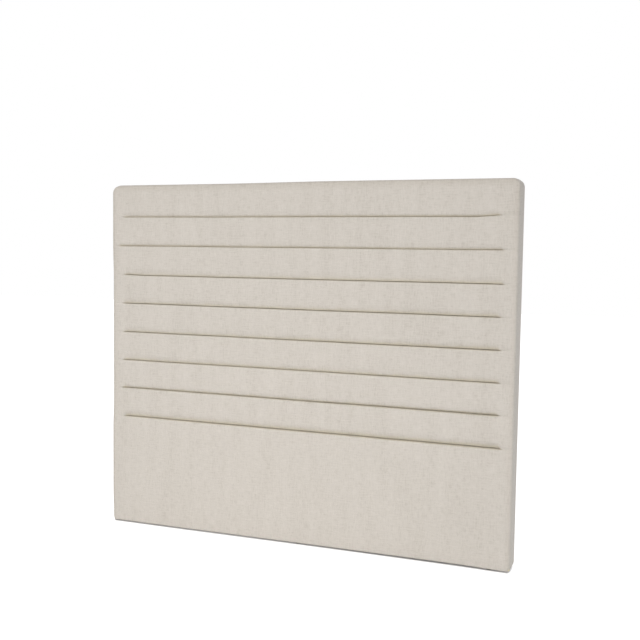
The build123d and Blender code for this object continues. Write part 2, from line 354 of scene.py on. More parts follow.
@dataclass(frozen=True)
class LinenLookWeave(Finish):
    """Plain weave of thick and thin heathered polyester yarns: matt, softly fuzzy, faintly speckled."""

    name: str = "linen-look upholstery weave"
    pale: str = "DBD5CE"
    mid: str = "D1CBC3"
    deep: str = "C0B9B0"
    # The real yarns lie about 0.9 mm apart; they are drawn wider so that a near view shows them.
    yarn_pitch: float = 1.5 * MM
    sways_per_metre: float = 60.0
    sway: float = 1.2 * MM
    slub_length: float = 30 * MM
    # The share of a noise cell that one yarn takes, so that its slubs stay in it.
    slub_share: float = 0.3
    speckle: float = 6 * MM
    heather_share: float = 0.55
    # The width of the faint stripes that yarns of slightly different dye lots leave along the warp.
    band_width: float = 45 * MM
    band_stretch: float = 0.12
    band_share: float = 0.5
    tone_spread: float = 0.52
    mid_tone: float = 0.45
    hollow_shade: float = 0.88
    crown_shade: float = 1.05
    relief: float = 0.35 * MM
    evenly: ClassVar[dict[str, float]] = {
        "Roughness": 0.92, "Specular IOR Level": 0.2, "Sheen Weight": 0.15, "Sheen Roughness": 0.5}

    def crossing(
        self, tree: bpy.types.NodeTree, place: bpy.types.NodeSocket,
    ) -> bpy.types.NodeSocket:
        """Draw yarns that pass over and under each other.

        Args:
            tree: The material's nodes.
            place: The place on the cloth.

        Returns:
            How high the upper yarn's crown stands, from 0 to 1.
        """
        sway = add_node(
            tree, "ShaderNodeTexNoise", {"Scale": self.sways_per_metre, "Detail": 2.0}, {"Vector": place})
        bent = add_node(
            tree, "ShaderNodeVectorMath", {"operation": "MULTIPLY_ADD", 1: (self.sway, self.sway, 0.0)},
            {0: sway.outputs["Color"], 2: place})
        yarns = add_node(
            tree, "ShaderNodeVectorMath", {"operation": "SCALE", "Scale": 1 / self.yarn_pitch},
            {0: bent.outputs[0]})
        axes = add_node(tree, "ShaderNodeSeparateXYZ", None, {0: yarns.outputs[0]})
        rounds, cells = [], []
        for axis in ("X", "Y"):
            turn = add_node(
                tree, "ShaderNodeMath", {"operation": "PINGPONG", 1: 0.5}, {0: axes.outputs[axis]})
            rounds.append(add_node(
                tree, "ShaderNodeMath", {"operation": "MULTIPLY", 1: 2.0}, {0: turn.outputs[0]}))
            cells.append(add_node(
                tree, "ShaderNodeMath", {"operation": "FLOOR"}, {0: axes.outputs[axis]}))
        total = add_node(
            tree, "ShaderNodeMath", {"operation": "ADD"},
            {0: cells[0].outputs[0], 1: cells[1].outputs[0]})
        over = add_node(
            tree, "ShaderNodeMath", {"operation": "FLOORED_MODULO", 1: 2.0}, {0: total.outputs[0]})
        crown = add_node(
            tree, "ShaderNodeMix", {"data_type": "FLOAT"},
            {0: over.outputs[0], 2: rounds[0].outputs[0], 3: rounds[1].outputs[0]})
        return crown.outputs[0]

    def slubs(
        self, tree: bpy.types.NodeTree, place: bpy.types.NodeSocket,
    ) -> bpy.types.NodeSocket:
        """Draw the thick and thin stretches of the yarns.

        Args:
            tree: The material's nodes.
            place: The place on the cloth.

        Returns:
            The slubs of both directions, added up.
        """
        along, across = 1 / self.slub_length, self.slub_share / self.yarn_pitch
        runs = []
        for squeeze in ((along, across, 1.0), (across, along, 1.0)):
            drawn = add_node(
                tree, "ShaderNodeVectorMath", {"operation": "MULTIPLY", 1: squeeze}, {0: place})
            runs.append(add_node(
                tree, "ShaderNodeTexNoise", {"Scale": 1.0, "Detail": 3.0, "Roughness": 0.6},
                {"Vector": drawn.outputs[0]}))
        both = add_node(
            tree, "ShaderNodeMath", {"operation": "ADD"},
            {0: runs[0].outputs["Fac"], 1: runs[1].outputs["Fac"]})
        return both.outputs[0]

    def dyed(
        self, tree: bpy.types.NodeTree, place: bpy.types.NodeSocket, slubs: bpy.types.NodeSocket,
    ) -> bpy.types.NodeSocket:
        """Mix the yarns' colours: slubs, heathered speckles and faint stripes.

        Args:
            tree: The material's nodes.
            place: The place on the cloth.
            slubs: The slubs of the yarns.

        Returns:
            The colour of the yarns.
        """
        heather = add_node(
            tree, "ShaderNodeTexNoise",
            {"Scale": 1 / self.speckle, "Detail": 4.0, "Roughness": 0.7}, {"Vector": place})
        tone = add_node(
            tree, "ShaderNodeMath", {"operation": "MULTIPLY_ADD", 1: self.heather_share},
            {0: heather.outputs["Fac"], 2: slubs})
        banded = add_node(
            tree, "ShaderNodeVectorMath",
            {"operation": "MULTIPLY", 1: (1 / self.band_width, self.band_stretch / self.band_width, 1.0)},
            {0: place})
        bands = add_node(
            tree, "ShaderNodeTexNoise", {"Scale": 1.0, "Detail": 2.0}, {"Vector": banded.outputs[0]})
        shaded = add_node(
            tree, "ShaderNodeMath", {"operation": "MULTIPLY_ADD", 1: self.band_share},
            {0: bands.outputs["Fac"], 2: tone.outputs[0]})
        middle_tone = 1.0 + 0.5 * (self.heather_share + self.band_share)
        spread = add_node(
            tree, "ShaderNodeMapRange",
            {"From Min": middle_tone - self.tone_spread, "From Max": middle_tone + self.tone_spread,
             "To Min": 0.0, "To Max": 1.0},
            {"Value": shaded.outputs[0]})
        ramp = add_node(tree, "ShaderNodeValToRGB", None, {0: spread.outputs[0]})
        ramp.color_ramp.elements[0].color = linear(self.deep)
        ramp.color_ramp.elements[1].color = linear(self.pale)
        middle = ramp.color_ramp.elements.new(self.mid_tone)
        middle.color = linear(self.mid)
        return ramp.outputs["Color"]

    def dress(self, tree: bpy.types.NodeTree, shader: bpy.types.Node) -> None:
        """Draw the weave and its colours, with the painted shade of the cover's edges and seam folds
        multiplied in.

        Args:
            tree: The material's nodes.
            shader: The shader among them.
        """
        place = add_node(tree, "ShaderNodeUVMap", {"uv_map": CLOTH_MAP}).outputs["UV"]
        crown, slubs = self.crossing(tree, place), self.slubs(tree, place)
        shade = add_node(
            tree, "ShaderNodeMapRange",
            {"From Min": 0.0, "From Max": 1.0, "To Min": self.hollow_shade, "To Max": self.crown_shade},
            {"Value": crown})
        # The painted shade of the cover's edges and seam folds, stored on the mesh, darkens the cloth's
        # colour.
        painted_shade_node = add_node(tree, "ShaderNodeAttribute", {"attribute_name": PAINTED_SHADE})
        colour = self.dyed(tree, place, slubs)
        for tint in (shade.outputs[0], painted_shade_node.outputs["Color"]):
            colour = add_node(
                tree, "ShaderNodeMix", {"data_type": "RGBA", "blend_type": "MULTIPLY", 0: 1.0},
                {6: colour, 7: tint}).outputs[2]
        tree.links.new(colour, shader.inputs["Base Color"])
        height = add_node(
            tree, "ShaderNodeMath", {"operation": "MULTIPLY_ADD", 1: 0.5}, {0: slubs, 2: crown})
        bump = add_node(
            tree, "ShaderNodeBump", {"Strength": 0.5, "Distance": self.relief},
            {"Height": height.outputs[0]})
        tree.links.new(bump.outputs["Normal"], shader.inputs["Normal"])


@dataclass(frozen=True)
class SpunbondNonwoven(Finish):
    """Charcoal spunbond polypropylene: flat black, cloudy, with rows of tiny welded points."""

    name: str = "spunbond dust cloth"
    dark: str = "1E1E20"
    pale: str = "3A3A3D"
    # Real weld points lie about 1.2 mm apart; they are drawn wider to show from a step away.
    weld_pitch: float = 3 * MM
    weld_depth: float = 0.3 * MM
    cloud: float = 14 * MM
    evenly: ClassVar[dict[str, float]] = {"Roughness": 0.8, "Specular IOR Level": 0.3}

    def dress(self, tree: bpy.types.NodeTree, shader: bpy.types.Node) -> None:
        """Draw clouded fibres and welded points.

        Args:
            tree: The material's nodes.
            shader: The shader among them.
        """
        place = add_node(tree, "ShaderNodeTexCoord").outputs["Object"]
        fibres = add_node(
            tree, "ShaderNodeTexNoise", {"Scale": 1 / self.cloud, "Detail": 8.0, "Roughness": 0.75},
            {"Vector": place})
        turned = add_node(
            tree, "ShaderNodeMapping",
            {"Rotation": (0.0, math.radians(45), 0.0), "Scale": (1 / self.weld_pitch,) * 3},
            {"Vector": place})
        welds = add_node(
            tree, "ShaderNodeTexVoronoi",
            {"feature": "F1", "Scale": 1.0, "Randomness": 0.0}, {"Vector": turned.outputs[0]})
        self.coat(tree, shader, fibres.outputs["Fac"], ((0.3, self.dark), (0.75, self.pale)),
                  welds.outputs["Distance"], 0.4, self.weld_depth)


@dataclass(frozen=True)
class PlanedTimber(Finish):
    """Planed softwood or turned beech: pale, satin, with drawn-out growth rings."""

    name: str
    early: str
    late: str
    grain: Grain
    ring_width: float = 4 * MM
    # How much slower the pattern changes along the grain than across it.
    along: float = 0.06
    drifts_per_metre: float = 12.0
    drift_reach: float = 80 * MM
    fibres_per_metre: float = 900.0
    fibre_share: float = 0.35
    relief: float = 0.1 * MM
    evenly: ClassVar[dict[str, float]] = {"Roughness": 0.6}

    def dress(self, tree: bpy.types.NodeTree, shader: bpy.types.Node) -> None:
        """Draw growth rings stretched along the grain, and fine pores.

        Args:
            tree: The material's nodes.
            shader: The shader among them.
        """
        place = add_node(tree, "ShaderNodeTexCoord").outputs["Object"]
        scale = (self.along, 1.0, 1.0) if self.grain is Grain.LEVEL else (1.0, 1.0, self.along)
        drawn = add_node(tree, "ShaderNodeMapping", {"Scale": scale}, {"Vector": place}).outputs[0]
        drift = add_node(
            tree, "ShaderNodeTexNoise", {"Scale": self.drifts_per_metre, "Detail": 3.0}, {"Vector": drawn})
        rings = add_node(
            tree, "ShaderNodeMath", {"operation": "MULTIPLY", 1: self.drift_reach / self.ring_width},
            {0: drift.outputs["Fac"]})
        band = add_node(
            tree, "ShaderNodeMath", {"operation": "PINGPONG", 1: 0.5}, {0: rings.outputs[0]})
        fibre = add_node(
            tree, "ShaderNodeTexNoise", {"Scale": self.fibres_per_metre, "Detail": 2.0}, {"Vector": drawn})
        total = add_node(
            tree, "ShaderNodeMath", {"operation": "MULTIPLY_ADD", 1: self.fibre_share},
            {0: fibre.outputs["Fac"], 2: band.outputs[0]}).outputs[0]
        self.coat(tree, shader, total, ((0.2, self.early), (0.75, self.late)), total, 0.3, self.relief)


@dataclass(frozen=True)
class OpenCellFoam(Finish):
    """Cut polyurethane foam: cream, dead matt, with open cells on the face."""

    name: str = "cut polyurethane foam"
    pale: str = "EFE6BE"
    deep: str = "D2C48C"
    # Real cells are about 0.8 mm across, drawn here at the size of the largest.
    cell: float = 1.6 * MM
    cell_depth: float = 0.4 * MM
    cell_share: float = 0.5
    clouds_per_metre: float = 9.0
    evenly: ClassVar[dict[str, float]] = {"Roughness": 0.95, "Specular IOR Level": 0.15}

    def dress(self, tree: bpy.types.NodeTree, shader: bpy.types.Node) -> None:
        """Draw the cells and a slow yellowing.

        Args:
            tree: The material's nodes.
            shader: The shader among them.
        """
        place = add_node(tree, "ShaderNodeTexCoord").outputs["Object"]
        cells = add_node(
            tree, "ShaderNodeTexVoronoi", {"Scale": 1 / self.cell}, {"Vector": place}).outputs["Distance"]
        cloud = add_node(
            tree, "ShaderNodeTexNoise", {"Scale": self.clouds_per_metre, "Detail": 3.0}, {"Vector": place})
        total = add_node(
            tree, "ShaderNodeMath", {"operation": "MULTIPLY_ADD", 1: self.cell_share},
            {0: cells, 2: cloud.outputs["Fac"]})
        self.coat(tree, shader, total.outputs[0], ((0.3, self.deep), (0.9, self.pale)),
                  cells, 0.6, self.cell_depth)


@dataclass(frozen=True)
class PlatedSteel(Finish):
    """Zinc-plated or galvanised steel: satin metal with a faintly clouded plating."""

    name: str
    bright: str
    dull: str
    roughness: float
    cloud: float = 3 * MM
    evenly: ClassVar[dict[str, float]] = {"Metallic": 1.0}

    def dress(self, tree: bpy.types.NodeTree, shader: bpy.types.Node) -> None:
        """Cloud the plating's tone and gloss.

        Args:
            tree: The material's nodes.
            shader: The shader among them.
        """
        place = add_node(tree, "ShaderNodeTexCoord").outputs["Object"]
        cloud = add_node(
            tree, "ShaderNodeTexNoise", {"Scale": 1 / self.cloud, "Detail": 4.0},
            {"Vector": place}).outputs["Fac"]
        self.coat(tree, shader, cloud, ((0.3, self.dull), (0.7, self.bright)))
        gloss = add_node(
            tree, "ShaderNodeMapRange",
            {"To Min": self.roughness - 0.08, "To Max": self.roughness + 0.1}, {"Value": cloud})
        tree.links.new(gloss.outputs[0], shader.inputs["Roughness"])


@dataclass(frozen=True)
class MottledFinish(Finish):
    """A surface of two tones in a fine random pattern, with a relief that follows the pattern."""

    name: str
    # The tones of the pattern at which each plain colour is reached.
    dark: tuple[float, str]
    pale: tuple[float, str]
    size: float
    pattern: dict[str, float]
    strength: float
    relief: float
    roughness: float
    sheen: float = 0.0

    def dress(self, tree: bpy.types.NodeTree, shader: bpy.types.Node) -> None:
        """Draw the pattern.

        Args:
            tree: The material's nodes.
            shader: The shader among them.
        """
        place = add_node(tree, "ShaderNodeTexCoord").outputs["Object"]
        mottle = add_node(
            tree, "ShaderNodeTexNoise", {"Scale": 1 / self.size, **self.pattern},
            {"Vector": place}).outputs["Fac"]
        self.coat(tree, shader, mottle, (self.dark, self.pale), mottle, self.strength, self.relief)
        shader.inputs["Roughness"].default_value = self.roughness
        shader.inputs["Sheen Weight"].default_value = self.sheen


CLOTH = LinenLookWeave()
DUST_CLOTH = SpunbondNonwoven()
LEVEL_PINE = PlanedTimber("planed pine, level grain", "D9B688", "B98A55", Grain.LEVEL)
UPRIGHT_PINE = PlanedTimber("planed pine, upright grain", "D9B688", "B98A55", Grain.UPRIGHT)
BEECH = PlanedTimber("turned beech", "CFA577", "B5885C", Grain.UPRIGHT, 2 * MM)
# Pressed wood fibres: brown, slightly glossy, flecked
BOARD = MottledFinish(
    "hard fibreboard", (0.35, "5A4330"), (0.7, "8A6B4C"), 2.5 * MM,
    {"Detail": 6.0, "Roughness": 0.8, "Distortion": 1.5}, 0.2, 0.1 * MM, 0.5)
FOAM = OpenCellFoam()
# Bonded polyester fibres: white, fluffy, in tangled wisps
WADDING = MottledFinish(
    "bonded polyester wadding", (0.3, "D4D4CE"), (0.65, "F4F4F0"), 6 * MM,
    {"Detail": 9.0, "Roughness": 0.75, "Distortion": 3.0}, 0.7, 1.0 * MM, 0.95, 0.3)
ZINC = PlatedSteel("zinc-plated steel", "D2D2CE", "B4B4AE", 0.35)
WIRE = PlatedSteel("galvanised wire", "C4C4C2", "A2A29E", 0.42)
# Black, waxy, with the fine grain of a spark-eroded mould
POLYETHYLENE = MottledFinish(
    "moulded black polyethylene", (0.0, "1B1B1C"), (1.0, "2E2E2F"), 0.8 * MM,
    {"Detail": 3.0}, 0.3, 0.05 * MM, 0.45)


# The padded front


@dataclass(frozen=True)
class SeamLine:
    """How one seam runs: where it is fully drawn in, how it strays, and how hard and deep it pulls."""

    left_inset: float
    right_inset: float
    drop: float = 0.0
    left_rise: float = 0.0
    right_rise: float = 0.0
    left_pull: float = 1.0
    right_pull: float = 1.0
    fold_share: float = 1.0


@dataclass(frozen=True)
class Row:
    """One row of the front's mesh: its height, its seam, and how far down the fold it lies."""

    height: float
    seam: int
    offset: float
    sink: float = 0.0


@dataclass
class PaddedFront:
    """The shape of the front: a soft slab with a fold drawn in at each seam."""

    seams: Sequence[SeamLine]
    thickness: float = 1.2 * MM
    # The rounding of the front's edge, in the front's plane and backwards, and of its corners.
    side_radius: float = 14 * MM
    side_depth: float = 12 * MM
    lower_radius: float = 6 * MM
    top_softness: float = 11 * MM
    bottom_softness: float = 4 * MM
    # The roll of the padding into a seam, which takes in more cloth above it than below.
    groove_depth: float = 10.5 * MM
    roll_above: float = 24 * MM
    roll_below: float = 8 * MM
    shortest_roll: float = 0.35
    slackness: float = 0.8
    lip_below_share: float = 0.55
    fold_depth: float = 10 * MM
    fold_half_gap: float = 1.1 * MM
    # Only seams that lie less than this above and below a place can reach it.
    looked_above: float = 20 * MM
    looked_below: float = 40 * MM
    # How a seam ends: its full depth fades out and leaves a faint crease up to the edge.
    fade_length: float = 18 * MM
    faint_share: float = 0.13
    faint_start: Slope = Slope(10 * MM, 16 * MM)
    end_length: float = 0.15
    end_reach: float = 0.10
    # How far a seam's straying moves the plain cloth below the lowest and above the highest.
    lift_below: float = 0.12
    lift_above: float = 0.10
    seam_wave: float = 0.8 * MM
    long_wave: float = 0.35
    short_wave: float = 0.09
    unevenness: float = 0.3 * MM
    even_border: float = 0.09
    # Bulges of the left side, each from one height to another, and by how much.
    left_bulges: Sequence[tuple[float, float, float]] = (
        (-0.30, 1.70, 2.5 * MM), (0.00, 0.50, 3 * MM), (0.98, 1.50, 3 * MM))
    bulge_rise: float = 0.14
    bulge_fall: float = 0.12
    right_bulge: float = 1.5 * MM
    side_end: Slope = Slope(0.72, 0.07)
    # The droop of the top towards its left end, and of the front corner there.
    top_droop: float = 3.4 * MM
    droop_end: Slope = Slope(-0.15, 0.5)
    droop_rows: Slope = Slope(1.25, 0.09)
    top_layer_share: float = 0.75
    corner_droop: float = 4.5 * MM
    corner_end: Slope = Slope(0.75, 0.05)
    corner_front: Slope = Slope(24 * MM, 12 * MM)
    # The lift of the lower front edge towards the right.
    lower_lift: float = 7 * MM
    lift_growth: Slope = Slope(-0.9, 1.5)
    lift_ease: Slope = Slope(0.6, 0.2)
    eased_share: float = 0.4
    padding_depth: float = 26 * MM
    lift_height: float = 55 * MM
    lift_fade: float = 50 * MM
    low: Vector = field(init=False)
    high: Vector = field(init=False)
    seam_heights: list[float] = field(init=False)
    board_front: float = field(init=False)
    frame_top: float = field(init=False)

    def __post_init__(self) -> None:
        """Take the outer box and the seams' heights from the model."""
        self.low, self.high = (Vector(corner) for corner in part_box("fabric_cover"))
        self.board_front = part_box("upper_face_board")[0][1]
        self.frame_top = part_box("top_rail")[1][2]
        stack = ["lower_panel_foam", *(f"channel_foam_{k}" for k in range(7, 0, -1)), "top_band_foam"]
        self.seam_heights = [
            (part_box(below)[1][2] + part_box(above)[0][2]) / 2 for below, above in zip(stack, stack[1:])]

    @property
    def half_width(self) -> float:
        """Half the slab's width."""
        return self.high.x

    def radius_towards(self, out: Vector) -> float:
        """The rounding of the front's edge on the side that a direction points to."""
        return mix(self.side_radius, self.lower_radius, max(0.0, -out.y) ** 2)

    def depth_towards(self, out: Vector) -> float:
        """How far back the rounding of the front's edge reaches on that side."""
        return mix(self.side_depth, self.lower_radius, max(0.0, -out.y) ** 2)

    def pull_at(self, seam: SeamLine, x: float) -> float:
        """How hard a seam is drawn in at a place along it."""
        return mix(seam.left_pull, seam.right_pull, (x + self.half_width) / (2 * self.half_width))

    def fade(self, seam: SeamLine, x: float) -> float:
        """Tell how fully a seam is drawn in, apart from its pull.

        Args:
            seam: The seam.
            x: The place along it.

        Returns:
            A share from 0 past its ends to 1.
        """
        left = (x + self.half_width - seam.left_inset) / self.fade_length + 1
        right = (self.half_width - seam.right_inset - x) / self.fade_length + 1
        return smooth(left) * smooth(right)

    def size_at(self, seam: SeamLine, x: float) -> float:
        """Tell how large the groove is, with the shallow crease that runs on past its end.

        Args:
            seam: The seam.
            x: The place along it.

        Returns:
            The groove's size, where 1 is the designed one.
        """
        drawn = self.fade(seam, x)
        size = drawn + self.faint_share * self.faint_start(self.half_width - abs(x)) * (1 - drawn)
        return size * self.pull_at(seam, x)

    def wave(self, index: int, x: float) -> float:
        """Tell how far a seam strays from its level line.

        Args:
            index: The seam's number, from the lowest up.
            x: The place along it.

        Returns:
            How much higher it runs there.
        """
        seam = self.seams[index]
        stray = self.seam_wave * (
            wander(x, index + 1, self.long_wave) + 0.5 * wander(x, index + 21, self.short_wave))
        left = smooth((-x - self.half_width + self.end_length) / self.end_reach)
        right = smooth((x - self.half_width + self.end_length) / self.end_reach)
        return stray - seam.drop + seam.left_rise * left + seam.right_rise * right

    def lift(self, index: int, offset: float, x: float) -> float:
        """Tell how far a place above or below a seam strays with the seams round it.

        Args:
            index: The number of the seam that the place belongs to.
            offset: How far the place lies above the seam.
            x: The place across.

        Returns:
            How much higher the place lies.
        """
        if offset <= 0:
            if index:
                span = self.seam_heights[index] - self.seam_heights[index - 1]
                return mix(self.wave(index, x), self.wave(index - 1, x), smooth(-offset / span))
            return self.wave(index, x) * smooth(1 + offset / self.lift_below)
        if index + 1 < len(self.seam_heights):
            span = self.seam_heights[index + 1] - self.seam_heights[index]
            return mix(self.wave(index, x), self.wave(index + 1, x), smooth(offset / span))
        return self.wave(index, x) * smooth(1 - offset / self.lift_above)

    def roll(self, seam: SeamLine, offset: float, x: float) -> float:
        """Tell how deep the padding rolls in near a seam.

        Args:
            seam: The seam.
            offset: How far the place lies above the seam, or below it if negative.
            x: The place along it.

        Returns:
            The depth behind the front plane.
        """
        size, pull = self.size_at(seam, x), self.pull_at(seam, x)
        depth = self.groove_depth * size
        if offset < 0:
            reach, lip = self.roll_below, depth * self.lip_below_share
        else:
            reach, lip = self.roll_above, depth
        reach *= self.shortest_roll + (1 - self.shortest_roll) * min(size / pull, 1.0)
        inside = max(0.0, (abs(offset) - self.fold_half_gap) / reach)
        if inside >= 1:
            return 0.0
        full = 1 - math.sqrt(1 - (1 - inside) ** 2)
        return lip * mix(full, (1 - inside) ** 2, mix(1.0, self.slackness, min(pull, 1.0)))

    def depth_at(self, x: float, z: float) -> float:
        """Tell how far behind the front plane the cloth lies, outside the folds.

        Args:
            x: The place across.
            z: The height.

        Returns:
            The depth.
        """
        deepest = 0.0
        for index, (seam, height) in enumerate(zip(self.seams, self.seam_heights)):
            if -self.looked_above < z - height < self.looked_below:
                offset = z - height - self.wave(index, x)
                deepest = max(deepest, self.roll(seam, offset, x))
        return deepest

    def swell(self, x: float, z: float) -> float:
        """Tell the slow unevenness of the padding under the cloth.

        Args:
            x: The place across.
            z: The height.

        Returns:
            How far the cloth stands out.
        """
        edge = min(self.half_width - abs(x), z - self.low.z, self.high.z - z)
        rough = noise.noise(Vector((x / 0.19, z / 0.11, 4.0))) + 0.5 * noise.noise(
            Vector((x / 0.07, z / 0.05, 9.0)))
        return smooth(edge / self.even_border) * self.unevenness * rough

    def corner_place(self, x: float, z: float) -> tuple[float, float, Vector]:
        """Round a corner of the front's flat.

        Args:
            x: Place across, before rounding.
            z: Height, before rounding.

        Returns:
            The rounded place and the direction that points out of the slab there.
        """
        reach = self.half_width - self.side_radius
        low, high = self.low.z + self.lower_radius, self.high.z - self.side_radius
        soft = self.top_softness if z > (low + high) / 2 else self.bottom_softness
        inner = Vector((min(max(x, soft - reach), reach - soft), min(max(z, low + soft), high - soft)))
        away = Vector((x, z)) - inner
        if away.length < TINY:
            return x, z, Vector((0.0, 0.0))
        away = rounded(away)
        place = inner + away
        return place.x, place.y, away.normalized()

    def settle(self, place: Vector) -> Vector:
        """Move a place on a soft piece to where the padding has gone in making and in use.

        Args:
            place: The place as designed.

        Returns:
            The place with the sides' bulges, the droop of the top's left end and the lower edge's lift.
        """
        moved = place.copy()
        left = self.side_end(-place.x)
        for start, stop, size in self.left_bulges:
            moved.x -= size * left * smooth((place.z - start) / self.bulge_rise) * smooth(
                (stop - place.z) / self.bulge_fall)
        moved.x += self.right_bulge * self.side_end(place.x)
        droop = self.top_droop * self.droop_end(-place.x)
        if place.y < self.board_front:
            share = self.droop_rows(place.z)
            droop += self.corner_droop * self.corner_end(-place.x) * self.corner_front(-place.y)
        else:
            rail_top = self.frame_top + 0.3 * MM
            share = self.top_layer_share * min(1.0, max(
                0.0, (place.z - rail_top) / (self.high.z - self.thickness - rail_top)))
        moved.z -= droop * share
        lift = self.lower_lift * self.lift_growth(place.x) * (1 - self.eased_share * self.lift_ease(place.x))
        lift *= smooth((self.board_front - place.y) / self.padding_depth)
        moved.z += lift * smooth((self.low.z + self.lift_height - place.z) / self.lift_fade)
        return moved


@dataclass
class PullWrinkles:
    """The small wrinkles where the cloth is pulled in at each seam's end, found by a cloth simulation.

    The front is held down along its seams and round its border and softly everywhere else, has a
    little more cloth than it covers, and is pressed outwards by the padding.
    """

    front: PaddedFront
    frames: int = 16
    growth: float = 0.010
    pressure: float = 6.0
    held: float = 0.10
    held_at_ends: float = 0.01
    firmly_drawn: float = 0.3
    end_reach: float = 0.07
    outward_limit: float = 1.6 * MM
    inward_limit: float = 0.6 * MM
    columns: list[float] = field(init=False)
    rows: list[float] = field(init=False)
    moves: list[list[Vector]] = field(default_factory=list)
    weave: ClassVar[dict[str, float]] = {
        "quality": 6, "mass": 0.3, "tension_stiffness": 20.0, "compression_stiffness": 20.0,
        "shear_stiffness": 8.0, "bending_stiffness": 0.3, "pin_stiffness": 1.0}

    def __post_init__(self) -> None:
        """Lay out the coarse mesh, finer at the seams' ends."""
        front = self.front
        reach = front.half_width - front.side_radius
        self.columns = graded(-reach, (
            (-0.64, 5 * MM), (-0.56, 9 * MM), (0.56, 25 * MM), (0.64, 9 * MM), (reach, 5 * MM)))
        heights = front.seam_heights
        first, last = front.low.z + front.lower_radius, front.high.z - front.side_radius
        self.rows = graded(first, ((heights[0] - 60 * MM, 25 * MM), (heights[0], 7 * MM)))
        for height in heights[1:]:
            self.rows += graded(self.rows[-1], ((height, 7.2 * MM),))[1:]
        self.rows += graded(self.rows[-1], ((last, 8 * MM),))[1:]

    def hold(self, x: float, z: float) -> float:
        """Tell how firmly the cloth is held.

        Args:
            x: The place across.
            z: The height.

        Returns:
            A share from 0 to 1.
        """
        front = self.front
        if abs(x) > front.half_width - front.side_radius - 1 * MM or z in (self.rows[0], self.rows[-1]):
            return 1.0
        loosest = self.held
        for seam, height in zip(front.seams, front.seam_heights):
            if abs(z - height) < 1e-6 and front.fade(seam, x) > self.firmly_drawn:
                return 1.0
            for end in (seam.left_inset - front.half_width, front.half_width - seam.right_inset):
                far = math.hypot(x - end, z - height) / self.end_reach
                loosest = min(loosest, mix(self.held_at_ends, self.held, smooth(far)))
        return loosest

    def limited(self, move: Vector) -> Vector:
        """Keep a move of the cloth small.

        Args:
            move: The move, which is changed.

        Returns:
            The move, within the limits.
        """
        move.y = min(max(move.y, -self.outward_limit), self.inward_limit)
        move.x = min(max(move.x, -self.outward_limit), self.outward_limit)
        move.z = min(max(move.z, -self.outward_limit), self.outward_limit)
        return move

    def run(self) -> None:
        """Run the simulation and keep how far each point of the coarse mesh moved."""
        front = self.front
        mesh = bmesh.new()
        places = []
        for vertex, i, j in lay_grid(mesh, self.columns, self.rows):
            x, z = self.columns[i], self.rows[j]
            vertex.co = (x, front.low.y + front.depth_at(x, z), z)
            places.append((i, j, vertex.co.copy()))
        study = put_in_scene("wrinkle_study", mesh)
        group = study.vertex_groups.new(name="held")
        for number, (i, j, _) in enumerate(places):
            group.add([number], self.hold(self.columns[i], self.rows[j]), "REPLACE")
        cloth = study.modifiers.new("cloth", "CLOTH")
        settings = cloth.settings
        for key, value in self.weave.items():
            setattr(settings, key, value)
        settings.vertex_group_mass = group.name
        settings.use_pressure = True
        settings.uniform_pressure_force = self.pressure
        settings.shrink_min = -self.growth
        settings.effector_weights.gravity = 0.0
        cloth.point_cache.frame_start, cloth.point_cache.frame_end = 1, self.frames
        scene = bpy.context.scene
        for number in range(1, self.frames + 1):
            scene.frame_set(number)
        shaped = study.evaluated_get(bpy.context.evaluated_depsgraph_get()).to_mesh()
        self.moves = [[Vector() for _ in self.rows] for _ in self.columns]
        for (i, j, start), vertex in zip(places, shaped.vertices):
            self.moves[i][j] = self.limited(vertex.co - start)
        scene.frame_set(1)
        data = study.data
        bpy.data.objects.remove(study)
        bpy.data.meshes.remove(data)
        depths = sorted(move.y for line in self.moves for move in line)
        log.info("wrinkles: %d points, from %.2f to %.2f mm", len(depths), depths[0] / MM, depths[-1] / MM)

    def __call__(self, x: float, z: float) -> Vector:
        """Tell how far the cloth has moved at a place on the front.

        Args:
            x: The place across.
            z: The height.

        Returns:
            The move, between those of the four points round the place.
        """
        if not self.moves:
            return Vector()
        i = min(max(bisect.bisect_right(self.columns, x) - 1, 0), len(self.columns) - 2)
        j = min(max(bisect.bisect_right(self.rows, z) - 1, 0), len(self.rows) - 2)
        across = min(max((x - self.columns[i]) / (self.columns[i + 1] - self.columns[i]), 0.0), 1.0)
        up = min(max((z - self.rows[j]) / (self.rows[j + 1] - self.rows[j]), 0.0), 1.0)
        lower = self.moves[i][j].lerp(self.moves[i + 1][j], across)
        upper = self.moves[i][j + 1].lerp(self.moves[i + 1][j + 1], across)
        return lower.lerp(upper, up)


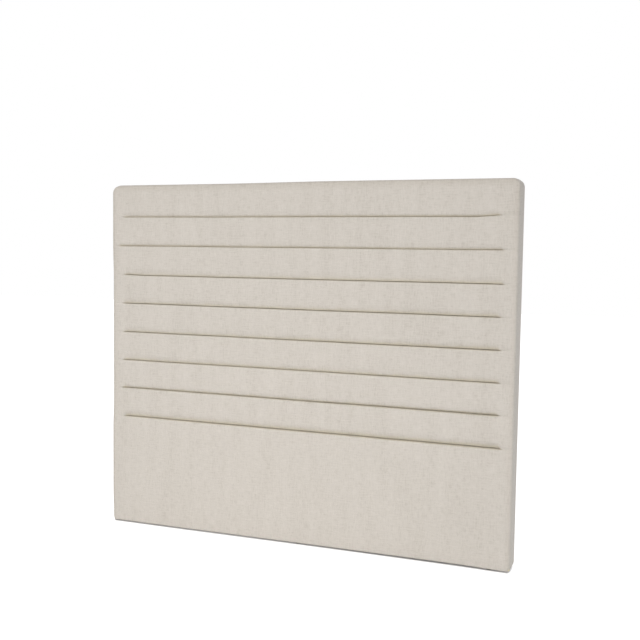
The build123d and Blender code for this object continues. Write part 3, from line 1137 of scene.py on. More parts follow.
@dataclass
class CoverCloth:
    """The cover: one cloth over front, sides and hem, drawn into a fold at each seam."""

    front: PaddedFront
    back_radius: float = 3.2 * MM
    front_steps: int = 5
    back_steps: int = 3
    # Rings of the hem: how far in from the slab's side, and whether the dust sheet presses them.
    hem_rings: Sequence[tuple[float, bool]] = (
        (8 * MM, False), (12 * MM, False), (15 * MM, True), (27 * MM, True), (40 * MM, True))
    hem_press: float = 0.4 * MM
    side_crown: float = 1.2 * MM
    left_corner_sharpness: float = 0.8
    right_corner_sharpness: float = 0.3
    # Rows of the mesh round a seam: mm below it, mm above it, and shares of the way down its fold.
    rows_below: Sequence[float] = (23, 14, 9.5, 7.2, 5.4, 3.9, 2.6, 1.5, 0.7, 0.0)
    rows_above: Sequence[float] = (0, 0.6, 1.5, 2.8, 4.5, 6.8, 9.6, 13, 17, 22, 28)
    sinks: Sequence[float] = (0.3, 0.7)
    fold_narrowing: float = 0.55
    faint_gap: float = 0.3
    spread_reach: float = 3 * MM
    free_of_seam: Slope = Slope(2 * MM, 6 * MM)
    # Painted shade: a warm darkening deep in the seam folds, growing with the depth of the fold.
    painted_crease_shade: str = "FFFDF3"
    crease_shade_depth: Slope = Slope(1.5 * MM, 7 * MM)
    # Painted shade: a grey darkening of the front along its top and side edges, fading inwards and back along
    # the rounding.
    painted_edge_shade: str = "F6F5F3"
    edge_shade_depth: Slope = Slope(6 * MM, 8 * MM)
    top_shade_width: float = 36 * MM
    side_shade_width: float = 24 * MM
    pull: Optional[Callable[[float, float], Vector]] = None

    def columns(self) -> list[float]:
        """Places of the columns across the flat of the front."""
        reach = self.front.half_width - self.front.side_radius
        return graded(-reach, (
            (-0.70, 4.6 * MM), (-0.60, 9 * MM), (0.60, 20 * MM), (0.70, 9 * MM), (reach, 4.6 * MM)))

    def rows(self) -> list[Row]:
        """Lay out the rows of the front, close together round each seam.

        Returns:
            The rows from the lower edge up.
        """
        gap = self.front.fold_half_gap
        below = [gap + d * MM for d in self.rows_below]
        above = [gap + d * MM for d in self.rows_above]
        heights = self.front.seam_heights
        first = self.front.low.z + self.front.lower_radius
        last = self.front.high.z - self.front.side_radius
        plain = graded(first, ((first + 40 * MM, 6.5 * MM), (heights[0] - below[0], 15 * MM)))
        rows = [Row(z, 0, z - heights[0]) for z in plain[:-1]]
        for index, seam in enumerate(heights):
            rows += [Row(seam - d, index, -d) for d in below]
            rows += [Row(seam, index, -gap, sink) for sink in self.sinks]
            rows.append(Row(seam, index, 0.0, 1.0))
            rows += [Row(seam, index, gap, sink) for sink in reversed(self.sinks)]
            rows += [Row(seam + d, index, d) for d in above]
            start = seam + above[-1]
            if index + 1 < len(heights):
                places = graded(start, ((heights[index + 1] - below[0], 13 * MM),))[1:-1]
            else:
                places = graded(start, ((last - 30 * MM, 13 * MM), (last, 5.5 * MM)))[1:]
            rows += [Row(z, index, z - seam) for z in places]
        return rows

    def drawn_place(self, row: Row, x: float) -> tuple[float, float]:
        """Find where the cloth lies in a row.

        Args:
            row: The mesh row.
            x: The place along it.

        Returns:
            The depth behind the front plane, and the height above the row's own.
        """
        front = self.front
        seam = front.seams[row.seam]
        spread = front.fold_half_gap * (front.pull_at(seam, x) - 1)
        near = math.exp(-max(0.0, abs(row.offset) - front.fold_half_gap) / self.spread_reach)
        rise = front.lift(row.seam, row.offset, x)
        rise += math.copysign(spread * near, row.offset) * bool(row.offset)
        if not row.sink:
            return front.roll(seam, row.offset, x), rise
        drawn = front.fade(seam, x)
        depth = front.groove_depth * front.size_at(seam, x)
        lip = depth * front.lip_below_share if row.offset < 0 else depth
        narrowing = (1 - self.fold_narrowing * row.sink) * mix(self.faint_gap, 1.0, drawn)
        fold = front.fold_depth * seam.fold_share * drawn
        return mix(lip, depth + fold, row.sink), rise + row.offset * narrowing

    def face(self) -> tuple[bmesh.types.BMesh, dict, dict]:
        """Shape the front face.

        Returns:
            The mesh, each vertex's outward direction in the slab's plane, and its place on the cloth.
        """
        columns, rows = self.columns(), self.rows()
        mesh = bmesh.new()
        mesh.verts.layers.float_color.new(PAINTED_SHADE)
        runs = [0.0]
        for before, after in zip(rows, rows[1:]):
            step = abs(after.height - before.height)
            if after.sink or before.sink:
                step = self.front.fold_depth * abs(after.sink - before.sink)
            runs.append(runs[-1] + max(step, 0.2 * MM))
        outward: dict = {}
        laid: dict = {}
        for vertex, i, j in lay_grid(mesh, columns, rows):
            x, row = columns[i], rows[j]
            depth, rise = self.drawn_place(row, x)
            px, pz, outward[vertex] = self.front.corner_place(x, row.height)
            place = Vector((px, self.front.low.y + depth - self.front.swell(x, row.height), pz + rise))
            if self.pull:
                place += self.pull(x, row.height) * self.free_of_seam(abs(row.offset))
            vertex.co = place
            laid[vertex] = Vector((x, self.front.low.z + runs[j]))
        return mesh, outward, laid

    def ring_place(self, first: Vector, out: Vector, reach: float, y: float, inset: float) -> Vector:
        """Find a place on one of the rings that wrap the slab.

        Args:
            first: The place on the edge of the front's flat that the ring grew from.
            out: The direction out of the slab there.
            reach: How far out the ring lies from that place.
            y: Its place from front to back.
            inset: How far in from the slab's side it lies on the back, else 0.

        Returns:
            The place.
        """
        if out.y < 0:
            sharpness = self.left_corner_sharpness if out.x < 0 else self.right_corner_sharpness
            reach *= 1 + sharpness * (1 / max(abs(out.x), abs(out.y)) - 1)
        flat = Vector((first.x, first.z)) + out * reach
        if inset:
            wide = self.front.half_width - inset
            flat.x = min(max(flat.x, -wide), wide)
            flat.y = min(max(flat.y, self.front.low.z + inset), self.front.high.z - inset)
        return Vector((flat.x, y, flat.y))

    def rings(self) -> list[Callable[[Vector, Vector], Vector]]:
        """Rules for each ring from the front's flat round to the hem's inner edge.

        Returns:
            One rule a ring, which turns a place on the edge of the flat, and its direction out,
            into the ring's place.
        """
        front, back = self.front, self.front.high.y

        def turned(turn: float) -> Callable[[Vector, Vector], Vector]:
            """Rule for a ring on the rounding of the front edge."""
            def rule(first: Vector, out: Vector) -> Vector:
                """Place the ring."""
                radius = front.radius_towards(out)
                dip = (first.y - front.low.y) * (1 - math.sin(turn))
                y = front.low.y + front.depth_towards(out) * (1 - math.cos(turn)) + dip
                return self.ring_place(first, out, radius * math.sin(turn), y, 0.0)
            return rule

        def beside(y: float, past: float, inset: float) -> Callable[[Vector, Vector], Vector]:
            """Rule for a ring on the side or the back, some way past the end of the rounding."""
            def rule(first: Vector, out: Vector) -> Vector:
                """Place the ring."""
                return self.ring_place(first, out, front.radius_towards(out) + past, y, inset)
            return rule

        steps = self.front_steps
        rules = [turned(math.radians(90 * k / steps)) for k in range(1, steps + 1)]
        start, end = front.low.y + front.side_depth, back - self.back_radius
        for place in graded(start, ((end, 17 * MM),))[1:]:
            crown = self.side_crown * math.sin(math.pi * (place - start) / (end - start))
            rules.append(beside(place, crown, 0.0))
        for k in range(1, self.back_steps + 1):
            turn, radius = math.radians(90 * k / self.back_steps), self.back_radius
            rules.append(beside(
                back - radius * (1 - math.sin(turn)), -radius * (1 - math.cos(turn)), 0.0))
        for inset, pressed in self.hem_rings:
            rules.append(beside(back - self.hem_press * pressed, -inset, inset))
        return rules

    def wrap(self, mesh: bmesh.types.BMesh, outward: dict, laid: dict) -> None:
        """Draw the cloth on round the edges, along the sides and onto the back as a hem.

        Args:
            mesh: The front face, which grows.
            outward: The direction out of the slab at each vertex.
            laid: The place of each vertex on the cloth.
        """
        ring = [edge for edge in mesh.edges if edge.is_boundary]
        base = {vertex: vertex.co.copy() for edge in ring for vertex in edge.verts}
        for rule in self.rings():
            made = bmesh.ops.extrude_edge_only(mesh, edges=ring)["geom"]
            fresh = [item for item in made if isinstance(item, bmesh.types.BMVert)]
            known = set(fresh)
            grown = {}
            for vertex in fresh:
                source = next(
                    edge.other_vert(vertex) for edge in vertex.link_edges
                    if edge.other_vert(vertex) not in known)
                grown[vertex], outward[vertex] = base[source], outward[source]
                vertex.co = rule(base[source], outward[source])
                laid[vertex] = laid[source] + outward[source] * (vertex.co - source.co).length
            edges = (edge for vertex in fresh for edge in vertex.link_edges
                     if edge.other_vert(vertex) in known)
            ring = list(dict.fromkeys(edges))
            base = grown

    def painted_shade_at(self, place: Vector) -> list[float]:
        """Find the painted shade: a grey darkening along the front's top and side edges, and a warm darkening
        deep in the seam folds.

        Args:
            place: A place on the cover, as designed.

        Returns:
            The linear colour that the cloth's own is multiplied by.
        """
        front = self.front
        depth = place.y - front.low.y
        across = (front.half_width - abs(place.x)) / self.side_shade_width
        down = (front.high.z - place.z) / self.top_shade_width
        edge = (1 - self.edge_shade_depth(depth)) * max(1 - smooth(across), 1 - smooth(down))
        crease = 0.0
        in_fold = depth <= front.groove_depth + front.fold_depth + 1 * MM
        if in_fold and across > 1 and place.z < front.high.z - 40 * MM:
            crease = self.crease_shade_depth(depth)
        tone = [1.0, 1.0, 1.0]
        for share, colour in ((edge, linear(self.painted_edge_shade)), (crease, linear(self.painted_crease_shade))):
            tone = [value * mix(1.0, part, share) for value, part in zip(tone, colour)]
        return [*tone, 1.0]

    def build(self) -> bpy.types.Object:
        """Make the whole cover.

        Returns:
            The piece.
        """
        mesh, outward, laid = self.face()
        self.wrap(mesh, outward, laid)
        # Store the painted shade of the edges and seam folds on each vertex.
        tone = mesh.verts.layers.float_color[PAINTED_SHADE]
        for vertex in mesh.verts:
            vertex[tone] = self.painted_shade_at(vertex.co)
        sheet = mesh.loops.layers.uv.new(CLOTH_MAP)
        for face in mesh.faces:
            for loop in face.loops:
                loop[sheet].uv = laid[loop.vert]
        for vertex in mesh.verts:
            vertex.co = self.front.settle(vertex.co)
        bmesh.ops.remove_doubles(mesh, verts=mesh.verts[:], dist=1e-6)
        bmesh.ops.recalc_face_normals(mesh, faces=mesh.faces[:])
        face_out(mesh, self.front.low.y + self.front.groove_depth)
        piece = new_piece("cover_cloth", mesh)
        give_thickness(piece, self.front.thickness)
        CLOTH.put_on(piece)
        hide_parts("fabric_cover")
        return piece


@dataclass
class Padding:
    """The foam and wadding under the cover, which keep just clear of it."""

    front: PaddedFront
    clearance: float = 1.0 * MM
    seam_clearance: float = 2.6 * MM
    board_clearance: float = 0.2 * MM
    thinnest_foam: float = 0.5 * MM
    column_spacing: float = 24 * MM
    row_spacing: float = 18 * MM
    # A pad wider than this has a middle with widely spaced columns between its two ends.
    narrow_width: float = 150 * MM
    end_width: float = 60 * MM
    end_spacing: float = 6 * MM
    narrow_spacing: float = 5 * MM
    rounding_steps: int = 8
    line_spacing: float = 60 * MM
    sample_spread: float = 2.5 * MM
    rim: Sequence[float] = (0.0, 0.5 * MM, 1.8 * MM, 4 * MM, 7 * MM, 11 * MM)
    wadding_thickness: float = 4.4 * MM
    wadding_steps: int = 8

    @property
    def skin(self) -> float:
        """How far under the cover's outer face the foam starts."""
        return self.front.thickness + self.clearance

    def fold_at(self, x: float, z: float) -> float:
        """Tell how deep a fold cuts into the foam.

        Args:
            x: The place across.
            z: The height.

        Returns:
            The depth, 0 away from the seams.
        """
        front = self.front
        for index, (seam, height) in enumerate(zip(front.seams, front.seam_heights)):
            if abs(z - height - front.wave(index, x)) < self.seam_clearance:
                drawn = front.fade(seam, x)
                if drawn > 0.02:
                    groove = front.groove_depth * front.size_at(seam, x)
                    return groove + front.fold_depth * drawn + self.clearance
        return 0.0

    def face_depth(self, x: float, z: float) -> float:
        """Tell how far behind the slab's front plane the foam's face lies.

        Args:
            x: The place across.
            z: The height.

        Returns:
            The depth.
        """
        front, spread = self.front, self.sample_spread
        deepest = max(front.depth_at(x + dx, z + dz) for dx in (-spread, 0.0, spread)
                      for dz in (-spread, 0.0, spread))
        depth = self.skin + max(deepest, self.fold_at(x, z))
        down = z < front.low.z + front.lower_radius + front.side_radius
        for gap, radius in ((front.half_width - abs(x), front.side_radius),
                            (front.high.z - z, front.side_radius),
                            (z - front.low.z, front.lower_radius if down else front.side_radius)):
            round_size = max(radius - self.skin, 1 * MM)
            inside = round_size - (gap - self.skin)
            if inside > 0:
                inside = min(inside, round_size)
                depth += round_size - math.sqrt(round_size ** 2 - inside ** 2)
        return min(depth, front.board_front - front.low.y - self.thinnest_foam)

    def pad_rows(self, bottom: float, top: float) -> list[float]:
        """Lay out a pad's rows, close at its rims and round the seams that cross it.

        Args:
            bottom: The pad's lower edge.
            top: Its upper edge.

        Returns:
            The rows' heights.
        """
        stops: list[float] = [bottom + d for d in self.rim] + [top - d for d in self.rim]
        reach = self.seam_clearance
        for height in self.front.seam_heights:
            if bottom + reach < height < top - reach:
                stops += [height + way * d for way in (-1, 1) for d in (
                    reach - 0.1 * MM, reach + 0.3 * MM, 5 * MM, 9 * MM, 14 * MM)] + [height, height + 22 * MM]
        stops = sorted(set(round(stop, 6) for stop in stops))
        rows = stops[:1]
        for stop in stops[1:]:
            rows += graded(rows[-1], ((stop, self.row_spacing),))[1:]
        return rows

    def pad_columns(self, left: float, right: float) -> list[float]:
        """Lay out a pad's columns, close at its ends.

        Args:
            left: The pad's left edge.
            right: Its right edge.

        Returns:
            The columns' places.
        """
        first, last = left + self.rim[-1], right - self.rim[-1]
        if right - left > self.narrow_width:
            stops: Sequence[tuple[float, float]] = (
                (min(left + self.end_width, last), self.end_spacing),
                (max(right - self.end_width, left + self.end_width), self.column_spacing),
                (last, self.end_spacing))
        else:
            stops = ((last, self.narrow_spacing),)
        rim = self.rim[:-1]
        return [left + d for d in rim] + graded(first, stops) + [right - d for d in reversed(rim)]

    def follow(self, x: float, z: float, bottom: float, top: float) -> float:
        """Move a height on a pad with the seams that bound or cross it.

        Args:
            x: The place across.
            z: The height.
            bottom: The pad's lower edge.
            top: Its upper edge.

        Returns:
            The height once it has followed the seams.
        """
        front, near = self.front, 5 * MM
        known = [(height, front.wave(index, x)) for index, height in enumerate(front.seam_heights)
                 if bottom - near < height < top + near]
        known = [(bottom - 2 * near, known[0][1] if abs(known[0][0] - bottom) < near else 0.0), *known,
                 (top + 2 * near, known[-1][1] if abs(known[-1][0] - top) < near else 0.0)]
        for (start, first), (stop, last) in zip(known, known[1:]):
            if start <= z <= stop:
                return z + mix(first, last, smooth((z - start) / (stop - start)))
        return z

    def pad_place(self, x: float, z: float, bottom: float, top: float) -> Vector:
        """Find a place on a pad's crowned face.

        Args:
            x: The place across, before the slab's corners are rounded.
            z: The height, likewise.
            bottom: The pad's lower edge.
            top: Its upper edge.

        Returns:
            The place.
        """
        front = self.front
        corner = front.top_softness + front.side_radius
        reach, height = front.half_width - corner, front.high.z - corner
        away = Vector((abs(x) - reach, z - height))
        if away.x > 0 and away.y > 0:
            away = rounded(away)
            x, z = math.copysign(reach + away.x, x), height + away.y
            gap = corner - away.length
            depth = max(self.face_depth(math.copysign(front.half_width - gap, x), height), self.skin)
        else:
            z = self.follow(x, z, bottom, top)
            depth = self.face_depth(x, z)
        return front.settle(Vector((x, front.low.y + depth, z)))

    def pad(self, name: str, node: str) -> bpy.types.Object:
        """Make one foam piece: a block whose crowned face follows the cover.

        Args:
            name: The new piece's name.
            node: The foam of the model that it stands for.

        Returns:
            The piece.
        """
        low, high = (Vector(corner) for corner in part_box(node))
        front = self.front
        left = max(low.x + self.board_clearance, self.skin - front.half_width)
        right = min(high.x - self.board_clearance, front.half_width - self.skin)
        bottom = max(low.z, front.low.z + self.skin)
        top = min(high.z, front.high.z - self.skin)
        if right - left > self.column_spacing * 2:
            room = self.seam_clearance - front.fold_half_gap
            bottom += room if bottom == low.z else 0.0
            top -= room if top == high.z else 0.0
        columns, rows = self.pad_columns(left, right), self.pad_rows(bottom, top)
        mesh = bmesh.new()
        for vertex, i, j in lay_grid(mesh, columns, rows):
            vertex.co = self.pad_place(columns[i], rows[j], bottom, top)
        ring = [edge for edge in mesh.edges if edge.is_boundary]
        made = bmesh.ops.extrude_edge_only(mesh, edges=ring)["geom"]
        for item in made:
            if isinstance(item, bmesh.types.BMVert):
                item.co.y = high.y - self.board_clearance
        bmesh.ops.holes_fill(mesh, edges=[edge for edge in mesh.edges if edge.is_boundary], sides=0)
        bmesh.ops.recalc_face_normals(mesh, faces=mesh.faces[:])
        piece = new_piece(name, mesh)
        FOAM.put_on(piece)
        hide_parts(node)
        return piece

    def strip(self, name: str, node: str, line: Sequence[tuple[Vector, Vector]]) -> bpy.types.Object:
        """Make one layer of wadding along a line seen from the front.

        Args:
            name: The new piece's name.
            node: The wadding of the model that it stands for.
            line: Points (x, z) along its outer face, each with the direction inwards there.

        Returns:
            The piece.
        """
        low, high = (Vector(corner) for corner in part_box(node))
        start = low.y + self.board_clearance
        step = (high.y - self.board_clearance - start) / self.wadding_steps
        mesh = bmesh.new()
        outer = [mesh.verts.new((place.x, start, place.y)) for place, _ in line]
        edges = [mesh.edges.new(pair) for pair in zip(outer, outer[1:])]
        made = bmesh.ops.extrude_edge_only(mesh, edges=edges)["geom"]
        fresh = {item for item in made if isinstance(item, bmesh.types.BMVert)}
        for vertex, (_, inwards) in zip(outer, line):
            twin = next(edge.other_vert(vertex) for edge in vertex.link_edges
                        if edge.other_vert(vertex) in fresh)
            twin.co += Vector((inwards.x, 0.0, inwards.y)) * self.wadding_thickness
        faces = mesh.faces[:]
        for number in range(self.wadding_steps):
            made = bmesh.ops.extrude_face_region(mesh, geom=faces, use_keep_orig=number == 0)["geom"]
            faces = [item for item in made if isinstance(item, bmesh.types.BMFace)]
            moved = {vertex for face in faces for vertex in face.verts}
            bmesh.ops.translate(mesh, vec=(0.0, step, 0.0), verts=list(moved))
        bmesh.ops.recalc_face_normals(mesh, faces=mesh.faces[:])
        for vertex in mesh.verts:
            vertex.co = self.front.settle(vertex.co)
        piece = new_piece(name, mesh)
        WADDING.put_on(piece)
        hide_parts(node)
        return piece

    def wadding(self) -> list[bpy.types.Object]:
        """Lay the wadding on the sides and over the top of the frame.

        Returns:
            The three layers.
        """
        front, side = self.front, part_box("left_side_wadding")
        gap = front.thickness + self.board_clearance
        wide, top, bottom = front.half_width - gap, front.high.z - gap, side[0][2]
        radius = abs(abs(side[1][0]) - wide)
        turn = top - radius
        pieces = []
        for way in Side:
            line = [(Vector((way.value * wide, z)), Vector((-way.value, 0.0)))
                    for z in graded(bottom, ((turn, self.line_spacing),))]
            for k in range(1, self.rounding_steps + 1):
                angle = math.radians(90 * k / self.rounding_steps)
                out = Vector((way.value * math.cos(angle), math.sin(angle)))
                line.append((Vector((way.value * (wide - radius), turn)) + out * radius, -out))
            side_name = f"{way.name.lower()}_side"
            pieces.append(self.strip(f"{side_name}_layer", f"{side_name}_wadding", line))
        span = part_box("top_edge_wadding")[1][0] - self.board_clearance
        line = [(Vector((x, top)), Vector((0.0, -1.0))) for x in graded(-span, ((span, self.line_spacing),))]
        return pieces + [self.strip("top_edge_layer", "top_edge_wadding", line)]

    def build(self) -> list[bpy.types.Object]:
        """Make all foam pieces and wadding layers.

        Returns:
            The pieces.
        """
        pieces = [self.pad("top_band_pad", "top_band_foam"), self.pad("lower_panel_pad", "lower_panel_foam")]
        pieces += [self.pad(f"channel_pad_{k}", f"channel_foam_{k}") for k in range(1, 8)]
        pieces += [self.pad(f"{side.name.lower()}_border_pad", f"{side.name.lower()}_border_foam")
                   for side in Side]
        return pieces + self.wadding()


# The back


@dataclass
class DustSheet:
    """The nonwoven sheet over the open back: stapled round its edge and cut clear at the inserts."""

    thickness: float = 0.25 * MM
    press: float = 0.4 * MM
    # Past its own staples the sheet rises clear of the staples in the hem under it.
    hem_staple_clearance: float = 0.05 * MM
    staple_inset: float = 7 * MM
    staple_spacing: float = 100 * MM
    staple_wire: float = 0.8 * MM
    stapled_stretch: float = 5 * MM
    corner_radius: float = 10 * MM
    hole_radius: float = 12 * MM
    hole_frame: float = 18 * MM
    hole_cells: int = 6
    insert_flange_radius: float = 9 * MM
    cell: float = 10 * MM
    # The sheet hangs in over the frame's openings and ripples between its staples.
    sag: float = 3.5 * MM
    sag_reach: float = 32 * MM
    ripple: float = 0.9 * MM
    ripple_reach: float = 0.06
    fan_size: float = 0.05
    fan_share: float = 0.3
    slack: float = 1.2 * MM
    slack_border: float = 0.12
    # Folds that the stretching left: both ends (x, z) and the height.
    folds: Sequence[tuple[float, float, float, float, float]] = (
        (-0.77, 1.33, -0.50, 1.04, 1.6 * MM), (0.77, 1.33, 0.56, 1.00, 1.4 * MM),
        (0.77, 0.03, 0.45, 0.24, 1.5 * MM), (-0.77, 0.03, -0.60, 0.30, 1.2 * MM),
        (-0.20, 1.33, 0.12, 1.02, 1.0 * MM), (0.30, 0.03, 0.02, 0.34, 1.1 * MM))
    fold_width: float = 13 * MM
    low: Vector = field(init=False)
    high: Vector = field(init=False)
    first_staple: Vector = field(init=False)
    pitch: Vector = field(init=False)

    def __post_init__(self) -> None:
        """Take the sheet's own box and its staples' places from the model."""
        self.low, self.high = (Vector(corner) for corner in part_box("dust_cover"))
        low, high = (Vector(corner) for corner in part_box("dust_cover_staples"))
        edge = Vector((1.0, 1.0, 1.0)) * (self.staple_wire + self.staple_spacing) / 2
        self.first_staple = low + edge
        free = high - low - 2 * edge
        self.pitch = Vector(
            value / max(1, math.floor(value / self.staple_spacing) + 1) for value in free)

    def hole_centres(self) -> list[Vector]:
        """Tell where the threaded inserts are.

        Returns:
            Their places (x, z).
        """
        low, high = (Vector(corner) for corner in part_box("threaded_inserts"))
        middle = self.insert_flange_radius
        return [Vector((x, z)) for x in (low.x + middle, high.x - middle)
                for z in (low.z + middle, high.z - middle)]

    def hollows(self) -> list[tuple[float, float, float, float]]:
        """Find the openings of the frame behind the sheet.

        Returns:
            The left, right, bottom and top of each.
        """
        rails = ["bottom_rail", "lower_mid_rail", "upper_mid_rail", "top_rail"]
        stile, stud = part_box("right_stile")[0][0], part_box("centre_stud_lower")[1][0]
        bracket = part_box("right_bracket_stud")
        found = []
        for below, above in zip(rails, rails[1:]):
            bottom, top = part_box(below)[1][2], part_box(above)[0][2]
            spans = [(stud, stile)]
            if below == "bottom_rail":
                spans = [(stud, bracket[0][0]), (bracket[1][0], stile)]
            found += [(left, right, bottom, top) for left, right in spans]
            found += [(-right, -left, bottom, top) for left, right in spans]
        return found

    def places(self, low: float, high: float, holes: Sequence[float]) -> list[float]:
        """Lay out the mesh lines along one axis, with a regular patch round each hole.

        Args:
            low: The sheet's start.
            high: Its end.
            holes: The middles of its holes.

        Returns:
            The lines' places.
        """
        lines = graded(low, ((low + 3 * self.staple_inset, self.staple_inset / 2),))
        cell = 2 * self.hole_frame / self.hole_cells
        for hole in sorted(set(round(value, 6) for value in holes)):
            lines += graded(lines[-1], ((hole - self.hole_frame, self.cell),))[1:]
            lines += [hole - self.hole_frame + cell * k for k in range(1, self.hole_cells + 1)]
        lines += graded(lines[-1], ((high - 3 * self.staple_inset, self.cell),))[1:]
        return lines + graded(lines[-1], ((high, self.staple_inset / 2),))[1:]

    def rippled(self, place: Vector, held: float) -> float:
        """Tell how far the sheet rises between and past its staples.

        Args:
            place: The place (x, z).
            held: 0 where the staples press the sheet down, 1 past them.

        Returns:
            The rise.
        """
        gaps = (place.x - self.low.x, self.high.x - place.x, place.y - self.low.z, self.high.z - place.y)
        edge = min(gaps)
        if edge in gaps[:2]:
            turns = (place.y - self.first_staple.z) / self.pitch.z
        else:
            turns = (place.x - self.first_staple.x) / self.pitch.x
        between = 0.5 - 0.5 * math.cos(2 * math.pi * turns)
        fan = noise.noise(Vector((place.x / self.fan_size, place.y / self.fan_size, 3.0)))
        near = math.exp(-max(0.0, edge - self.staple_inset) / self.ripple_reach)
        raised = self.ripple * near * between * (1 - self.fan_share + self.fan_share * fan)
        return raised + (self.press + self.hem_staple_clearance) * held

    def folded(self, place: Vector) -> float:
        """Tell how far the folds raise the sheet.

        Args:
            place: The place (x, z).

        Returns:
            The rise.
        """
        raised = 0.0
        for x0, z0, x1, z1, height in self.folds:
            along = Vector((x1 - x0, z1 - z0))
            away = place - Vector((x0, z0))
            share = away.dot(along) / along.length_squared
            if 0 < share < 1:
                across = (away - along * share).length / (self.fold_width * (0.5 + share))
                raised += height * math.exp(-across * across) * smooth(4 * share) * smooth(2 - 2 * share)
        return raised

    def depth(self, place: Vector, hollows: Sequence[tuple[float, float, float, float]]) -> float:
        """Tell how far the sheet lies in front of its stapled plane.

        Args:
            place: The place (x, z).
            hollows: The openings of the frame.

        Returns:
            The depth, below 0 where the sheet stands out at the back.
        """
        sunk = 0.0
        for left, right, bottom, top in hollows:
            inside = min(place.x - left, right - place.x, place.y - bottom, top - place.y)
            if inside > 0:
                sunk = self.sag * smooth(inside / self.sag_reach)
        edge = min(place.x - self.low.x, self.high.x - place.x, place.y - self.low.z, self.high.z - place.y)
        held = smooth((edge - self.staple_inset - 2 * MM) / self.stapled_stretch)
        loose = noise.noise(Vector((place.x / 0.22 + place.y / 0.11, place.y / 0.2 - place.x / 0.4, 8.0)))
        raised = self.slack * loose * smooth(edge / self.slack_border) * (sunk / self.sag)
        return sunk - raised - self.rippled(place, held) - self.folded(place) * held

    def round_corner(self, x: float, z: float) -> Vector:
        """Round the sheet's corners.

        Args:
            x: The place across, before rounding.
            z: The height, before rounding.

        Returns:
            The rounded place (x, z).
        """
        radius = self.corner_radius
        inner = Vector((min(max(x, self.low.x + radius), self.high.x - radius),
                        min(max(z, self.low.z + radius), self.high.z - radius)))
        return inner + rounded(Vector((x, z)) - inner)

    def build(self) -> bpy.types.Object:
        """Make the sheet.

        Returns:
            The piece.
        """
        centres = self.hole_centres()
        columns = self.places(self.low.x, self.high.x, [centre.x for centre in centres])
        rows = self.places(self.low.z, self.high.z, [centre.y for centre in centres])
        mesh = bmesh.new()
        for vertex, i, j in lay_grid(mesh, columns, rows):
            flat = self.round_corner(columns[i], rows[j])
            vertex.co = (flat.x, 0.0, flat.y)
        for centre in centres:
            self.cut_hole(mesh, centre)
        hollows = self.hollows()
        plane = self.low.y - self.press + self.thickness
        for vertex in mesh.verts:
            vertex.co.y = plane - self.depth(Vector((vertex.co.x, vertex.co.z)), hollows)
        bmesh.ops.recalc_face_normals(mesh, faces=mesh.faces[:])
        if sum(face.normal.y for face in mesh.faces) < 0:
            bmesh.ops.reverse_faces(mesh, faces=mesh.faces[:])
        piece = new_piece("dust_sheet", mesh)
        give_thickness(piece, self.thickness)
        DUST_CLOTH.put_on(piece)
        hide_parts("dust_cover")
        return piece

    def cut_hole(self, mesh: bmesh.types.BMesh, centre: Vector) -> None:
        """Cut one round hole in the flat sheet, in the regular patch round an insert.

        Args:
            mesh: The flat sheet.
            centre: The middle (x, z) of the hole.
        """
        reach = self.hole_frame - 0.1 * MM
        patch = [face for face in mesh.faces
                 if abs(face.calc_center_median().x - centre.x) < reach
                 and abs(face.calc_center_median().z - centre.y) < reach]
        plate = bmesh.ops.dissolve_faces(mesh, faces=patch)["region"][0]
        bmesh.ops.inset_individual(mesh, faces=[plate], thickness=1 * MM)
        for vertex in plate.verts:
            away = Vector((vertex.co.x - centre.x, vertex.co.z - centre.y)).normalized() * self.hole_radius
            vertex.co = (centre.x + away.x, 0.0, centre.y + away.y)
        bmesh.ops.delete(mesh, geom=[plate], context="FACES_ONLY")


# Studio


@dataclass(frozen=True)
class SoftBox:
    """One lamp: its place, the point it faces, its size, power, spread in degrees and sRGB tint."""

    name: str
    place: tuple[float, float, float]
    aim: tuple[float, float, float]
    size: tuple[float, float]
    watts: float
    spread: float
    tint: str

    def hang(self) -> None:
        """Hang the lamp in the scene."""
        data = bpy.data.lights.new(self.name, "AREA")
        data.shape = "RECTANGLE"
        data.size, data.size_y = self.size
        data.energy = self.watts
        data.spread = math.radians(self.spread)
        data.color = linear(self.tint)[:3]
        ahead = (Vector(self.aim) - Vector(self.place)).normalized()
        turn = ahead.to_track_quat("-Z", "Y").to_matrix().to_4x4()
        put_in_scene(self.name, data).matrix_world = Matrix.Translation(self.place) @ turn


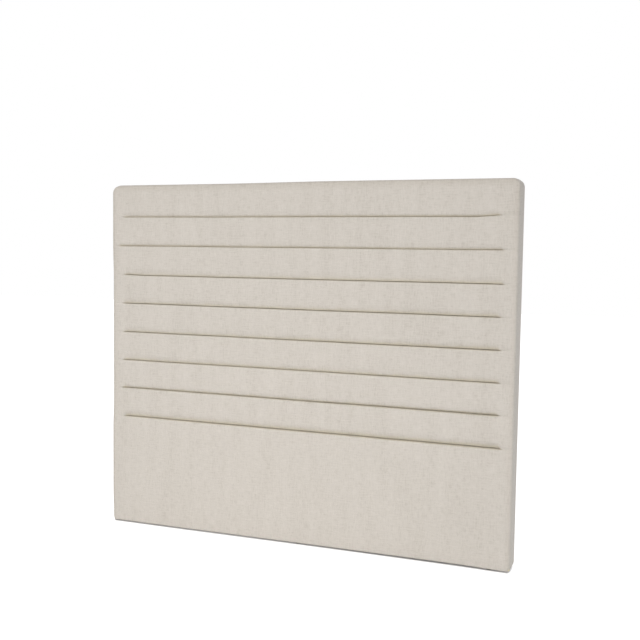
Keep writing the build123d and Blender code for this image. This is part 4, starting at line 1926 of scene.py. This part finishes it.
@dataclass
class Studio:
    """Floor, lamps and camera, as for a product photograph on white."""

    eye: tuple[float, float, float] = (1.327, -3.185, 1.085)
    lens: float = 52.03
    sensor: float = 36.0
    yaw: float = 21.52
    pitch: float = 3.97
    roll: float = 0.83
    lamps: Sequence[SoftBox] = (
        SoftBox("key", (-0.4, -5.5, 3.3), (-0.2, 0.0, 0.2), (2.6, 1.8), 152.0, 180.0, "FFFDFA"),
        SoftBox("side fill", (4.5, -0.4, 0.6), (0.8, 0.0, 0.1), (2.0, 1.0), 10.0, 90.0, "FAFCFF"),
        SoftBox("low fill", (-0.3, -4.2, 0.4), (-0.2, 0.0, 0.0), (2.4, 0.6), 3.0, 50.0, "FFFDFA"))
    room_strength: float = 0.5
    floor_size: float = 15.0
    floor_white: float = 0.8
    # The floor's painted contact shadow: right under an edge its glow for the camera gets darker over this
    # distance.
    contact_reach: float = 8 * MM

    def camera(self) -> None:
        """Stand the camera where the photograph was taken."""
        yaw, pitch, roll = (math.radians(a) for a in (self.yaw, self.pitch, self.roll))
        ahead = Vector((-math.sin(yaw) * math.cos(pitch), math.cos(yaw) * math.cos(pitch), -math.sin(pitch)))
        right = Vector((math.cos(yaw), math.sin(yaw), 0.0))
        up = right.cross(ahead)
        across = right * math.cos(roll) + up * math.sin(roll)
        upright = up * math.cos(roll) - right * math.sin(roll)
        turn = Matrix((across, upright, -ahead)).transposed().to_4x4()
        data = bpy.data.cameras.new("camera")
        data.sensor_width = self.sensor
        data.lens = self.lens
        data.clip_end = 100.0
        camera = put_in_scene("camera", data)
        camera.matrix_world = Matrix.Translation(self.eye) @ turn
        bpy.context.scene.camera = camera

    def surroundings(self) -> None:
        """Light the room evenly and show white behind the object."""
        world = bpy.data.worlds.new("room")
        bpy.context.scene.world = world
        world.use_nodes = True
        tree = world.node_tree
        tree.nodes.clear()
        ray = add_node(tree, "ShaderNodeLightPath")
        shown = ray.outputs["Is Camera Ray"]
        for kind in ("Is Glossy Ray", "Is Transmission Ray"):
            shown = add_node(
                tree, "ShaderNodeMath", {"operation": "MAXIMUM"}, {0: shown, 1: ray.outputs[kind]}).outputs[0]
        room, white = (
            add_node(tree, "ShaderNodeBackground", {"Color": (1.0, 1.0, 1.0, 1.0), "Strength": strength})
            for strength in (self.room_strength, 1.0))
        both = add_node(
            tree, "ShaderNodeMixShader", None, {0: shown, 1: room.outputs[0], 2: white.outputs[0]})
        add_node(tree, "ShaderNodeOutputWorld", None, {"Surface": both.outputs[0]})

    def floor(self) -> None:
        """Lay a white floor that keeps a soft shadow, with a painted contact shadow that darkens its glow
        under the object's edges.
        """
        mesh = bmesh.new()
        bmesh.ops.create_grid(mesh, x_segments=1, y_segments=1, size=self.floor_size)
        floor = put_in_scene("studio_floor", mesh)
        material = bpy.data.materials.new("white studio floor")
        material.use_nodes = True
        tree = material.node_tree
        tree.nodes.clear()
        ray = add_node(tree, "ShaderNodeLightPath")
        matt = add_node(tree, "ShaderNodeBsdfDiffuse", {"Color": (*[self.floor_white] * 3, 1.0)})
        open_sky = add_node(
            tree, "ShaderNodeAmbientOcclusion", {"samples": 8, "Distance": self.contact_reach})
        darker = add_node(
            tree, "ShaderNodeMath", {"operation": "POWER", 1: 2.0}, {0: open_sky.outputs["AO"]})
        glow = add_node(
            tree, "ShaderNodeEmission", {"Strength": self.floor_white}, {"Color": darker.outputs[0]})
        lit = add_node(tree, "ShaderNodeAddShader", None, {0: matt.outputs[0], 1: glow.outputs[0]})
        both = add_node(
            tree, "ShaderNodeMixShader", None,
            {0: ray.outputs["Is Camera Ray"], 1: matt.outputs[0], 2: lit.outputs[0]})
        add_node(tree, "ShaderNodeOutputMaterial", None, {"Surface": both.outputs[0]})
        floor.data.materials.append(material)

    def build(self) -> None:
        """Set up everything round the object."""
        self.camera()
        self.surroundings()
        self.floor()
        for lamp in self.lamps:
            lamp.hang()
        bpy.context.scene.view_settings.view_transform = "Standard"


# From the lowest seam up
SEAMS = (
    SeamLine(0.066, 0.052, drop=1.5 * MM, left_pull=1.15, right_pull=1.4),
    SeamLine(0.056, 0.062, drop=-0.8 * MM, left_pull=0.95, right_pull=1.25),
    SeamLine(0.060, 0.062, drop=0.3 * MM, left_pull=0.95, right_pull=1.05),
    SeamLine(0.060, 0.062, drop=1.2 * MM, left_pull=0.8, right_pull=1.2),
    SeamLine(0.059, 0.064, drop=0.7 * MM, left_pull=0.8, right_pull=1.05),
    SeamLine(
        0.064, 0.056, drop=1.4 * MM, left_rise=2.5 * MM, left_pull=0.75, right_pull=0.95, fold_share=0.8),
    SeamLine(0.042, 0.060, drop=-1.4 * MM, left_pull=0.75, right_pull=0.75, fold_share=0.5),
    SeamLine(
        0.062, 0.072, drop=-1.8 * MM, right_rise=5.0 * MM, left_pull=0.65, right_pull=0.8,
        fold_share=0.45),
)


def dress_hard_parts() -> None:
    """Give each part of the model its own finish."""
    finishes: dict[str, Finish] = {
        "zinc_steel": ZINC, "staple_wire": WIRE, "glide_plastic": POLYETHYLENE, "dowel_wood": BEECH,
        "face_board": BOARD, "foam": FOAM, "wadding": WADDING, "dust_cover_cloth": DUST_CLOTH,
        "cover_fabric": CLOTH,
    }
    level = ("rail", "corner_block")
    for subpart in frame["record"]["subparts"]:
        name, slot = subpart["node"], subpart["material_slot"]
        if slot == "timber":
            finish: Finish = LEVEL_PINE if name.endswith(level) else UPRIGHT_PINE
        else:
            finish = finishes[slot]
        finish.put_on(bpy.data.objects[name])
        log.info("%s: %s", name, finish.name)


def main() -> None:
    """Build the scene, piece by piece."""
    logging.basicConfig(level=logging.INFO, format="%(message)s")
    dress_hard_parts()
    front = PaddedFront(SEAMS)
    wrinkles = PullWrinkles(front)
    wrinkles.run()
    pieces = [CoverCloth(front, pull=wrinkles).build(), *Padding(front).build(), DustSheet().build()]
    for piece in pieces:
        log.info("%s: %d faces", piece.name, len(piece.data.polygons))
    Studio().build()


if __name__ == "__main__":
    main()
